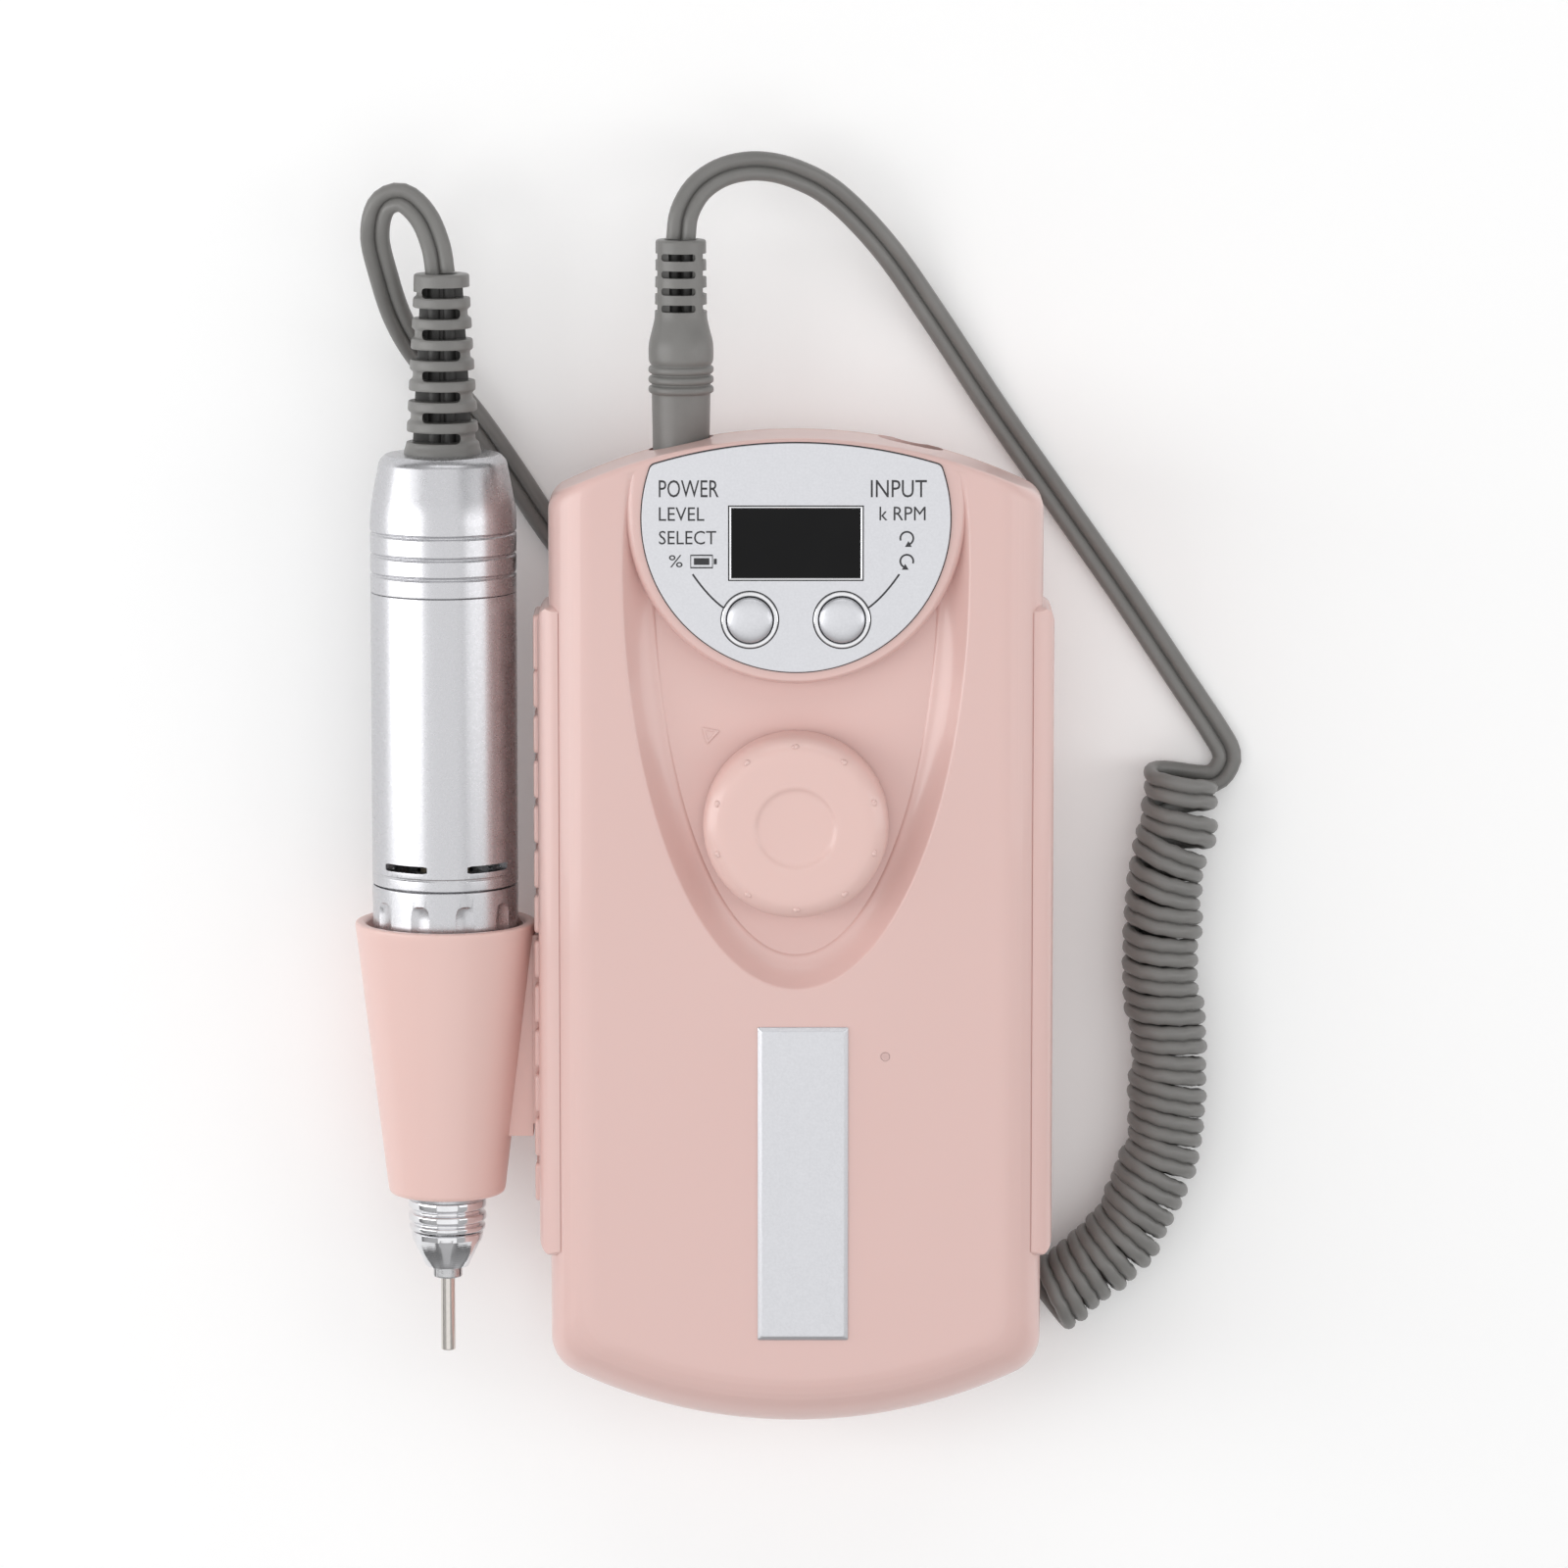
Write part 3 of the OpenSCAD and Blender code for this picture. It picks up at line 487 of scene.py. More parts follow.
LOOP_ROUTE = [
    (-57.5, 106.8, 20), (-58.2, 111.2, 20), (-60.2, 116, 20), (-63.6, 119, 19.6),
    (-67, 117.6, 18.6), (-68.2, 112.5, 16.8), (-67, 106, 14), (-65, 99, 10.6), (-62, 93, 7.2),
    (-58, 88, 4.6), (-53, 81.8, 2.8), (-47, 73, 1.6), (-41.5, 64.5, 1.3), (-37.2, 58.8, 1.3),
    (-33.6, 56.5, 1.3), (-31, 56.5, 1.3)]
UNDER_ROUTE = [
    (-31, 56.5, 1.3), (-28, 56.5, 1.3), (-23, 53.6, 1.3), (-16, 44, 1.3), (-10, 28, 1.3),
    (-4, 8, 1.3), (2, -14, 1.3), (8, -34, 1.3), (13, -46, 1.3), (19.5, -52.5, 1.3),
    (27, -54.8, 1.3), (34, -56, 1.3), (38.4, -59.4, 1.3), (42.5, -65, 1.3)]
COIL_ROUTE = [
    (63, 24, 6.6), (63, 14, 6.6), (61.5, 7, 6.6), (60.5, 0, 6.6), (60.5, -8, 6.6),
    (61, -16, 6.6), (62, -26, 6.6), (61.5, -34, 6.6), (60, -43, 6.6), (57, -50, 6.6),
    (53, -56, 6.6), (48, -61, 6.6), (42.5, -65, 6.6)]
PLUG_ROUTE = [
    (-18.6, 112.3, 20), (-18, 116.6, 20), (-15.6, 120.6, 19.4), (-11.4, 123.2, 18.4),
    (-6, 123.9, 16.6), (0, 122.4, 13.8), (6.5, 118.5, 10.4), (14.5, 110, 6.6),
    (22.5, 98.5, 3.4), (33, 82.5, 1.6), (43.5, 67.5, 1.3), (54, 52.5, 1.3), (64, 37.5, 1.3),
    (69.4, 29.4, 1.4), (71.4, 25.4, 1.5), (70.4, 21.6, 1.4), (67.4, 20.6, 1.3), (63, 21.5, 1.3)]


def smooth_line(route, step):
    """Evenly spaced points on a smooth curve through a route."""
    knots = [Vector(p) for p in route]
    knots = [knots[0] * 2 - knots[1], *knots, knots[-1] * 2 - knots[-2]]
    fine = []
    for i in range(1, len(knots) - 2):
        a, b, c, d = knots[i - 1:i + 3]
        for k in range(40):
            t = k / 40
            fine.append(0.5 * (2 * b + (c - a) * t + (2 * a - 5 * b + 4 * c - d) * t ** 2
                               + (3 * b - a - 3 * c + d) * t ** 3))
    fine.append(knots[-2])
    lengths = [0.0]
    for a, b in zip(fine, fine[1:]):
        lengths.append(lengths[-1] + (b - a).length)
    count = max(2, round(lengths[-1] / step))
    line, j = [], 0
    for i in range(count + 1):
        want = lengths[-1] * i / count
        while j < len(fine) - 2 and lengths[j + 1] < want:
            j += 1
        share = (want - lengths[j]) / max(lengths[j + 1] - lengths[j], 1e-9)
        line.append(fine[j].lerp(fine[j + 1], min(share, 1.0)))
    return line


def directions(line):
    last = len(line) - 1
    return [(line[min(i + 1, last)] - line[max(i - 1, 0)]).normalized() for i in range(last + 1)]


def wound(route):
    """The curly stretch: the lead's centre line, and the coil's own direction at each point."""
    axis = smooth_line(route, 0.25)
    along = directions(axis)
    step = (axis[1] - axis[0]).length
    angle, points, across = -math.pi / 2, [], []
    fine_angle = [angle]
    for i in range(1, len(axis)):
        pitch = COIL_PITCH + LOOSE_TURN * math.exp(-i * step / LOOSE_OVER)
        fine_angle.append(fine_angle[-1] - math.tau * step / pitch)
    turns = round((fine_angle[0] - fine_angle[-1]) / math.tau)
    stretch = turns * math.tau / (fine_angle[0] - fine_angle[-1])
    samples = turns * 30
    for k in range(samples + 1):
        want = -math.tau * turns * k / samples
        j = j_at(fine_angle, angle, stretch, want)
        right = Vector((0, 0, 1)).cross(along[j]).normalized()
        turn = angle + want
        sway = 0.35 * math.sin(1.7 * k / 30) + 0.2 * math.sin(4.1 * k / 30 + 1)
        centre = axis[j] + right * sway
        points.append(centre + right * COIL_R * math.cos(turn)
                      + Vector((0, 0, COIL_R * math.sin(turn))))
        across.append(along[j])
    return points, across


def j_at(fine_angle, angle, stretch, want):
    """The first place on the axis whose turning angle has reached the wanted one."""
    low, high = 0, len(fine_angle) - 1
    while low < high:
        middle = (low + high) // 2
        if (fine_angle[middle] - angle) * stretch > want:
            low = middle + 1
        else:
            high = middle
    return low


def twin_outline():
    """Two round strands side by side, joined at a narrow waist: offsets across and up."""
    strand = LEAD_T / 2
    open_by = math.radians(9)
    arc = [open_by - math.pi + (math.tau - 2 * open_by) * k / 12 for k in range(13)]
    right = [(strand + strand * math.cos(a), strand * math.sin(a)) for a in arc]
    return right + [(-u, -v) for u, v in right]


def lead_mesh(name, line, across):
    """Sweeps the twin outline along a line; across points along the lead's width."""
    rings, last = [], None
    for point, ahead, hint in zip(line, directions(line), across):
        wide = (hint - ahead * hint.dot(ahead)).normalized()
        if last is not None and wide.dot(last) < 0:
            wide = -wide
        last = wide
        up = ahead.cross(wide)
        rings.append([tuple(point + wide * u + up * v) for u, v in twin_outline()])
    points, faces = loft(rings)
    return build(name, points, faces, grey_rubber)


def flat_across(line):
    """The width of a lead that lies flat is level, and square to its run."""
    return [Vector((0, 0, 1)).cross(d).normalized() for d in directions(line)]


def blended(one, two, share):
    return (one * (1 - share) + two * share).normalized()


def declare_lead(obj, line):
    length = sum((b - a).length for a, b in zip(line, line[1:])) * MM
    at(*line[0])
    [at(*p) for p in line]


def main_lead():
    """Plug lead, curly stretch and the run under the case, as one piece of twin lead."""
    plug_line = smooth_line(PLUG_ROUTE, LEAD_STEP)
    under_line = smooth_line(UNDER_ROUTE, LEAD_STEP)[::-1]
    coil_line, coil_across = wound(COIL_ROUTE)
    blend_points = 10
    plug_line = plug_line[:-3]
    under_line = under_line[3:]
    plug_across = flat_across(plug_line)
    under_across = flat_across(under_line)
    for k in range(blend_points):
        share = (k + 1) / (blend_points + 1)
        i = len(plug_across) - blend_points + k
        start = coil_across[0] * (1 if coil_across[0].dot(plug_across[i]) > 0 else -1)
        plug_across[i] = blended(plug_across[i], start, share)
    line = plug_line + coil_line[3:-3] + under_line
    across = plug_across + coil_across[3:-3] + under_across
    line = [Vector(p) for p in line]
    joins = (len(plug_line), len(plug_line) + len(coil_line) - 6)
    for _ in range(6):
        for join in joins:
            for i in range(join - 7, join + 7):
                line[i] = (line[i - 1] + line[i] * 2 + line[i + 1]) / 4
    lead = lead_mesh("curly_lead", line, across)
    finish_piece(lead, "case", ("cord_plug_lead", "cord_coil", "cord_under_case"))
    return lead, line


LOOP_HIGH_Y = 84


def loop_leads():
    """The loop from the handpiece, in two pieces, split at its last point beyond LOOP_HIGH_Y."""
    line = smooth_line(LOOP_ROUTE, LEAD_STEP)
    split = max(i for i, p in enumerate(line) if p.y > LOOP_HIGH_Y)
    upper, lower = line[:split + 1], line[split:]
    made = []
    for name, part in (("upper_loop", upper), ("lower_loop", lower)):
        across = flat_across(part)
        piece = lead_mesh(name, part, across)
        made.append((piece, part))
    finish_piece(made[0][0], None, ("cord_loop",))
    finish_piece(made[1][0], None, ("cord_loop",))
    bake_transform(made[0][0])
    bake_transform(made[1][0])
    return made


curly_lead, curly_line = main_lead()
loops = loop_leads()

# ---- Case ----

TOP_ARC_R = 87
BOTTOM_ARC_R = 84
TOP_CORNER = 4
BOTTOM_CORNER = 7
SIDE_ROUND = 7.5
END_ROUND = 1.2
FOOT_END_ROUND = 10
RECESS_Y = 60
RECESS_HALF_W = 27.8
RECESS_HALF_L = 68
RECESS_DEPTH = 4
BANK_W = 5
PLATE_R = 24.8
PLATE_Y = 68.6
BOSS_R = PLATE_R + 2.3
PLATE_ARC_R = 78
PLATE_TOP_Y = extent("face_plate")[1].y
DISPLAY_W = 21.8
DISPLAY_H = 12.2
DISPLAY_Y = sum(v.y for v in extent("display_window")) / 2
FACE_HOLE_R = 2.2
KNOB_HOLE_R = 3.6
LED_SPOT = tuple(sum(v[i] for v in extent("charge_led")) / 2 for i in (0, 1))
SOCKET_HOLE_R = 5.3
SCREWS = [(x, y) for x in (-25.5, 25.5) for y in (60, -58)]
FEET = [(x, y) for x in (-25, 25) for y in (-44, 44)]


def edge_inset(radius, depth):
    return 0 if depth >= radius else radius - math.sqrt(radius ** 2 - (radius - depth) ** 2)


def end_outline(half, arc_r, apex, corner, corner_steps=12, arc_steps=56):
    """Right side, over the bulging end to the left side, seen from the front."""
    reach = half - corner
    centre = apex - arc_r
    corner_y = centre + math.sqrt((arc_r - corner) ** 2 - reach ** 2)
    turn = math.atan2(corner_y - centre, reach)
    right = [(reach + corner * math.cos(turn * i / corner_steps),
              corner_y + corner * math.sin(turn * i / corner_steps)) for i in range(corner_steps)]
    arc = [(arc_r * math.cos(turn + (math.pi - 2 * turn) * i / arc_steps),
            centre + arc_r * math.sin(turn + (math.pi - 2 * turn) * i / arc_steps))
           for i in range(arc_steps + 1)]
    return right + arc + [(-x, y) for x, y in right[::-1]]


def case_outline(side, top, bottom):
    upper = end_outline(SIDE_X - side, TOP_ARC_R - top, END_Y - top, TOP_CORNER)
    lower = end_outline(SIDE_X - side, BOTTOM_ARC_R - bottom, END_Y - bottom, BOTTOM_CORNER)
    return upper + [(-x, -y) for x, y in lower]


def smoothstep(value, low, high):
    t = min(max((value - low) / (high - low), 0), 1)
    return t * t * (3 - 2 * t)


def recess_share(x, y):
    """How far a point lies down the bank of the recess: 0 at its rim, 1 on its floor."""
    dx, dy = x, y - RECESS_Y
    low, high = -2.0, BANK_W + 2.0
    for _ in range(30):
        middle = (low + high) / 2
        half_w, half_l = RECESS_HALF_W - middle, RECESS_HALF_L - middle
        if (dx / half_w) ** 2 + (dy / half_l) ** 2 < 1:
            low = middle
        else:
            high = middle
    return (low + high) / 2 / BANK_W


BANK_PROFILE = [(-0.10, 0), (-0.04, 0.015), (0.0, 0.06), (0.05, 0.14), (0.12, 0.25), (0.3, 0.52),
                (0.5, 0.74), (0.7, 0.86), (0.86, 0.905), (0.92, 0.92), (0.96, 0.95), (1.0, 1.0)]
BOSS_PROFILE = [(0.0, 0.0), (0.25, 0.03), (0.5, 0.12), (0.72, 0.28), (0.88, 0.5), (1.0, 0.8),
                (1.06, 1.0)]
BOSS_EDGE = 1.0


def follow(profile, value):
    if value <= profile[0][0]:
        return profile[0][1]
    for (a, fa), (b, fb) in zip(profile, profile[1:]):
        if value <= b:
            return fa + (fb - fa) * (value - a) / (b - a)
    return profile[-1][1]


def front_height(x, y):
    """Height of the front face: the bowl round the knob, and the boss under the plate."""
    share = recess_share(x, y)
    if share <= BANK_PROFILE[0][0]:
        return FACE_Z
    drop = RECESS_DEPTH * follow(BANK_PROFILE, share) * (1 - smoothstep(y, 66, 79))
    away = math.hypot(x, y - PLATE_Y)
    boss = follow(BOSS_PROFILE, (away - BOSS_R + BOSS_EDGE) / BOSS_EDGE)
    return FACE_Z - drop * boss


def circle(x, y, radius, steps):
    return [(x + radius * math.cos(math.tau * k / steps), y + radius * math.sin(math.tau * k / steps))
            for k in range(steps)]


def ellipse_ring(inset, steps=260):
    return [((RECESS_HALF_W - inset) * math.cos(math.tau * k / steps),
             RECESS_Y + (RECESS_HALF_L - inset) * math.sin(math.tau * k / steps))
            for k in range(steps)]


def clip_loop(loop, inside):
    """Edges of a loop of points whose two ends both lie inside."""
    points = list(loop)
    edges = [(i, (i + 1) % len(points)) for i in range(len(points))
             if inside(points[i]) and inside(points[(i + 1) % len(points)])]
    return edges


def flat_mesh(boundary, loops, holes, keep):
    """Triangles that fill a boundary and follow the loops inside it, without the holes."""
    points = [Vector(p) for p in boundary]
    edges = [(i, (i + 1) % len(points)) for i in range(len(points))]
    for loop, clipped in [(h, False) for h in holes] + [(other, True) for other in loops]:
        shift = len(points)
        if clipped:
            used = {}
            pairs = clip_loop(loop, keep)
            for pair in pairs:
                for k in pair:
                    if k not in used:
                        used[k] = len(points)
                        points.append(Vector(loop[k]))
                edges.append((used[pair[0]], used[pair[1]]))
        else:
            points += [Vector(p) for p in loop]
            edges += [(shift + i, shift + (i + 1) % len(loop)) for i in range(len(loop))]
    made, _, faces, *_ = delaunay_2d_cdt(points, edges, [], 0, 1e-5)
    return made, faces


def inside_loop(point, loop):
    x, y = point
    hit = False
    for (x0, y0), (x1, y1) in zip(loop, loop[1:] + loop[:1]):
        if (y0 > y) != (y1 > y) and x < x0 + (y - y0) * (x1 - x0) / (y1 - y0):
            hit = not hit
    return hit


def face_shape(boundary, loops, holes, height):
    """A face that fills its boundary, with holes, at a height worked out at each point."""
    inner = [(x * 0.999, y * 0.999) for x, y in boundary]
    points, faces = flat_mesh(boundary, loops, holes, lambda p: inside_loop(p, inner))
    kept = []
    for face in faces:
        centre = sum((Vector(points[k]) for k in face), Vector((0, 0))) / len(face)
        if inside_loop(centre, boundary) and not any(inside_loop(centre, h) for h in holes):
            kept.append(tuple(face))
    return [(p[0], p[1], height(p[0], p[1])) for p in points], kept


def rect_loop(x, y, w, h, steps=6):
    xs = [x - w / 2 + w * i / steps for i in range(steps)]
    ys = [y - h / 2 + h * i / steps for i in range(steps)]
    return ([(u, y - h / 2) for u in xs] + [(x + w / 2, v) for v in ys]
            + [(2 * x - u, y + h / 2) for u in xs] + [(x - w / 2, 2 * y - v) for v in ys])


def half_shell(name, rings, face, thickness, replaces):
    """An open half of the case: its side rings and its face, given a wall."""
    points, faces = joined(loft(rings, caps=False), face)
    shell = build(name, points, faces, shell_plastic)
    wall = shell.modifiers.new("wall", "SOLIDIFY")
    wall.thickness = thickness * MM
    wall.offset = -1
    settle(shell)
    cut(shell, joined(*[turned([(0, END_Y - 9), (SOCKET_HOLE_R, END_Y - 9),
                                (SOCKET_HOLE_R, END_Y + 4), (0, END_Y + 4)],
                               along_y(side * PLUG_X, AXIS_Z), 64) for side in (-1, 1)]))
    return finish_piece(shell, "case", replaces, math.radians(40))


GROOVE = 0.25
WALL = 1.6


def front_shell():
    depths = sorted({round(FOOT_END_ROUND * (1 - math.cos(math.pi / 2 * i / 12)), 3)
                     for i in range(13)} | {0.02, 0.06, 0.15, 0.3, 0.5, 0.8, 1.2})
    rings = [[(x, y, FACE_Z - d) for x, y in case_outline(
        edge_inset(SIDE_ROUND, d), edge_inset(END_ROUND, d), edge_inset(FOOT_END_ROUND, d))]
        for d in depths]
    for inset, z in ((0, PART_Z + GROOVE), (GROOVE, PART_Z)):
        rings.append([(x, y, z) for x, y in case_outline(inset, inset, inset)])
    boundary = [(x, y) for x, y, z in rings[0]]
    loops = [ellipse_ring(share * BANK_W) for share, _ in BANK_PROFILE]
    loops += [circle(0, PLATE_Y, BOSS_R - BOSS_EDGE + share * BOSS_EDGE, 220)
              for share, _ in BOSS_PROFILE]
    holes = [rect_loop(0, DISPLAY_Y, DISPLAY_W, DISPLAY_H), circle(0, KNOB_Y, KNOB_HOLE_R, 48),
             circle(*LED_SPOT, 0.75, 24)]
    holes += [circle(side * BUTTON_X, BUTTON_Y, FACE_HOLE_R, 36) for side in (-1, 1)]
    face = face_shape(boundary, loops, holes, front_height)
    return half_shell("front_shell_moulding", rings, face, WALL, ("front_shell",))


REAR_STEPS = [(15.75, 0.0), (13.5, 0.1), (11.5, 0.3), (10, 0.9), (7.5, 3.0), (5.0, 5.1),
              (3.0, 6.75), (1.5, 8), (1.0, 8.5), (0.5, 9.3), (0.15, 10.0), (0, 10.5)]


def rear_shell():
    rings = [[(x, y, PART_Z) for x, y in case_outline(GROOVE, GROOVE, GROOVE)]]
    rings += [[(x, y, BACK_Z + height) for x, y in case_outline(inset, inset, inset)]
              for height, inset in REAR_STEPS]
    boundary = [(x, y) for x, y, _ in rings[-1]]
    holes = [circle(x, y, 2.6, 32) for x, y in SCREWS]
    face = face_shape(boundary, [], holes, lambda x, y: BACK_Z)
    return half_shell("rear_shell_moulding", rings, face, WALL, ("rear_shell",))


front_shell()
rear_shell()


def plate_outline(inset):
    """The control plate: a circle cut by a wide arc along the case's end, corners rounded."""
    radius, arc_r = PLATE_R - inset, PLATE_ARC_R - inset
    arc_centre = PLATE_TOP_Y - PLATE_ARC_R
    corner = 1.2
    apart = PLATE_Y - arc_centre
    one, two = radius - corner, arc_r - corner
    y = (two ** 2 - one ** 2 + apart ** 2) / (2 * apart)
    x = math.sqrt(two ** 2 - y ** 2)
    y += arc_centre
    low = math.atan2(y - PLATE_Y, x)
    high = math.atan2(y - arc_centre, x)
    right = [(x + corner * math.cos(low + (high - low) * k / 8),
              y + corner * math.sin(low + (high - low) * k / 8)) for k in range(9)]
    over = [(arc_r * math.cos(high + (math.pi - 2 * high) * k / 40),
             arc_centre + arc_r * math.sin(high + (math.pi - 2 * high) * k / 40))
            for k in range(1, 40)]
    under_angle = math.pi - low
    around = [(radius * math.cos(under_angle + (math.pi + 2 * low) * k / 140),
               PLATE_Y + radius * math.sin(under_angle + (math.pi + 2 * low) * k / 140))
              for k in range(1, 140)]
    return right + over + [(-u, v) for u, v in right[::-1]] + around


def control_plate():
    bevel = 0.12
    rings = [[(x, y, z) for x, y in plate_outline(inset)] for inset, z in (
        (0, FACE_Z), (0, PLATE_Z - bevel), (0.04, PLATE_Z - 0.03), (bevel, PLATE_Z))]
    boundary = [(x, y) for x, y, z in rings[-1]]
    bezel_r = (extent("button_bezels")[1].y - extent("button_bezels")[0].y) / 2
    holes = [rect_loop(0, DISPLAY_Y, DISPLAY_W, DISPLAY_H)]
    holes += [circle(side * BUTTON_X, BUTTON_Y, bezel_r, 64) for side in (-1, 1)]
    points, faces = joined(loft(rings, caps=False),
                           face_shape(boundary, [], holes, lambda x, y: PLATE_Z))
    plate = build("control_plate", points, faces, satin_plate)
    finish_piece(plate, "case", ("face_plate",))
    # A black ring a little wider than the plate, under its edge: a painted shadow line round the
    # plate, not a real pad.
    shadow_line_rings = [[(x, y, z) for x, y in plate_outline(-0.18)]
                 for z in (FACE_Z - 0.1, FACE_Z + 0.14)]
    shadow_line = build("plate_shadow_line", *loft(shadow_line_rings), black_plastic)
    finish_piece(shadow_line, "case")


control_plate()


def display():
    """Black glass in a thin bright frame."""
    low, high = extent("display_window")
    glass = build("display_glass_pane", *box_shape(low.x + 0.25, high.x - 0.25, low.y + 0.25,
                                                   high.y - 0.25, low.z, high.z - 0.12), display_glass)
    soften(glass, 0.12, 2)
    finish_piece(glass, "case", ("display_window",))
    edge, bevel = 0.38, 0.1
    rings = []
    for inset, z in ((0, low.z), (0, high.z - bevel + 0.08), (bevel, high.z + 0.08),
                     (edge - bevel, high.z + 0.08), (edge, high.z - bevel + 0.08), (edge, low.z)):
        w, h = high.x - low.x - 2 * inset, high.y - low.y - 2 * inset
        rings.append([(x, y, z) for x, y in rect_loop(0, DISPLAY_Y, w, h, 2)])
    frame_piece = build("display_frame", *loft(rings, closed=True, caps=False), bright_metal)
    finish_piece(frame_piece, "case")


display()


def push_buttons():
    for side, body in ((-1, "left_button"), (1, "right_button")):
        low, high = extent(body)
        radius = (high.x - low.x) / 2
        x = side * BUTTON_X
        cap_r = 3.65
        skirt, top = high.z - 0.85, high.z
        profile = [(0, low.z), (1.9, low.z), (1.9, 31.4), (radius, 31.4), (radius, 32.2),
                   (1.9, 32.2), (1.9, FACE_Z + 0.7), (cap_r, FACE_Z + 0.7), (cap_r, skirt)]
        profile += [(cap_r * math.sin(math.pi / 2 * (1 - k / 12)) - 0.02,
                     skirt + (top - skirt) * math.sin(math.pi / 2 * k / 12)) for k in range(1, 12)]
        profile += [(0, top)]
        points, faces = turned(profile, along_z(x, BUTTON_Y), 96)
        cap = build(body + "_cap", points, faces, satin_plate)
        finish_piece(cap, body, (body,))
    low, high = extent("button_bezels")
    outer = (high.y - low.y) / 2
    rings = []
    for side in (-1, 1):
        profile = fillet([(3.85, low.z), (outer, low.z), (outer, high.z), (3.85, high.z)],
                         [0, 0, 0.22, 0.22], 4)
        rings.append(turned(profile, along_z(side * BUTTON_X, BUTTON_Y), 96))
    bezels = build("bright_bezels", *joined(*rings), bright_metal)
    finish_piece(bezels, "case", ("button_bezels",))
    # Thin black rings at the gaps inside and outside each bezel: painted shade in the gaps.
    lines = []
    for side in (-1, 1):
        for radius in (outer + 0.06, 3.85):
            profile = [(radius - 0.12, high.z - 0.32), (radius + 0.12, high.z - 0.32),
                       (radius + 0.12, high.z - 0.25), (radius - 0.12, high.z - 0.25)]
            lines.append(turned(profile, along_z(side * BUTTON_X, BUTTON_Y), 96))
    shadow_rings = build("bezel_gap_shade_lines", *joined(*lines), ink_and_painted_shade)
    finish_piece(shadow_rings, "case")


push_buttons()


def speed_knob():
    low, high = extent("speed_knob")
    foot, top = low.z, high.z
    profile = [(0, foot + 3), (5.4, foot + 3), (5.4, foot + 0.4), (13.6, foot + 0.4),
               (13.6, foot), (KNOB_R, foot), (KNOB_R, top - 2.5), (KNOB_R - 0.7, top - 1.1),
               (13.0, top - 0.25), (11.6, top - 0.02), (9, top), (6.7, top), (6.0, top - 0.42),
               (4.5, top - 0.5), (0, top - 0.55)]
    radii = [0, 0.3, 0.3, 0.2, 0.3, 0.3, 1.6, 1.0, 0.8, 0.6, 0, 0.5, 0.5, 1, 0]
    shapes = [turned(fillet(profile, radii, 6), along_z(0, KNOB_Y), 192)]
    for i in range(10):
        angle = math.radians(36 * i + 18)
        for shift, size in ((0, 0.5), (0.028, 0.34)):
            x = 13.25 * math.cos(angle + shift)
            y = KNOB_Y + 13.25 * math.sin(angle + shift)
            bead = [(size * math.cos(math.pi / 2 * k / 4), top - 0.55 + 0.42 * math.sin(
                math.pi / 2 * k / 4)) for k in range(5)]
            bead[-1] = (0, bead[-1][1])
            shapes.append(turned([(0, top - 1.1), (size, top - 1.1)] + bead, along_z(x, y), 14))
    knob = build("speed_dial", *joined(*shapes), knob_plastic)
    finish_piece(knob, "knob", ("speed_knob",))


speed_knob()


def pointer_mark():
    """Small raised triangle on the recess floor that points at the knob."""
    corners = [(-15.3, 34.3), (-12.2, 33.7), (-14.4, 31.3)]
    centre = Vector((-13.97, 33.1))
    floor_z = FACE_Z - RECESS_DEPTH
    rings = []
    for scale, z in ((1.0, floor_z - 0.1), (1.0, floor_z + 0.12), (0.86, floor_z + 0.25),
                     (0.62, floor_z + 0.22), (0.5, floor_z + 0.08)):
        ring = fillet([tuple(centre + (Vector(c) - centre) * scale) for c in corners], 0.35, 3)
        rings.append([(x, y, z) for x, y in ring])
    mark = build("pointer_mark", *loft(rings), shell_plastic)
    finish_piece(mark, "case")


pointer_mark()


def name_plate():
    low, high = extent("name_plate")
    rings = []
    for inset, z in ((0, FACE_Z - 0.02), (0, FACE_Z + 0.22), (0.12, FACE_Z + 0.34),
                     (0.62, high.z - 0.04), (0.78, high.z)):
        w, h = high.x - low.x - 2 * inset, high.y - low.y - 2 * inset
        x, y = (low.x + high.x) / 2, (low.y + high.y) / 2
        outline = fillet([(x - w / 2, y - h / 2), (x + w / 2, y - h / 2), (x + w / 2, y + h / 2),
                          (x - w / 2, y + h / 2)], 0.3, 3)
        rings.append([(u, v, z) for u, v in outline])
    plate = build("blank_name_plate", *loft(rings), satin_plate)
    finish_piece(plate, "case", ("name_plate",))


name_plate()

# ---- Marks on the plate ----

INK_Z = PLATE_Z + 0.015
INK_T = 0.03


def ink(name, points, faces):
    mark = build(name, points, faces, ink_and_painted_shade)
    finish_piece(mark, "case")


def lettering(name, words, x, y, height, width):
    """A generic function label, drawn as thin raised ink and squeezed to its width."""
    curve = bpy.data.curves.new(name, "FONT")
    curve.body = words
    curve.resolution_u = 3
    curve.extrude = 0.5
    text = bpy.data.objects.new(name + "_text", curve)
    bpy.context.collection.objects.link(text)
    graph = bpy.context.evaluated_depsgraph_get()
    graph.update()
    mesh = bpy.data.meshes.new_from_object(text.evaluated_get(graph))
    bpy.data.objects.remove(text)
    xs = [v.co.x for v in mesh.vertices]
    ys = [v.co.y for v in mesh.vertices]
    wide, tall = max(xs) - min(xs), max(ys) - min(ys)
    points = [(x + (v.co.x - min(xs)) * width / wide, y + (v.co.y - min(ys)) * height / tall,
               INK_Z + v.co.z * INK_T) for v in mesh.vertices]
    ink(name, points, [tuple(f.vertices) for f in mesh.polygons])
    bpy.data.meshes.remove(mesh)


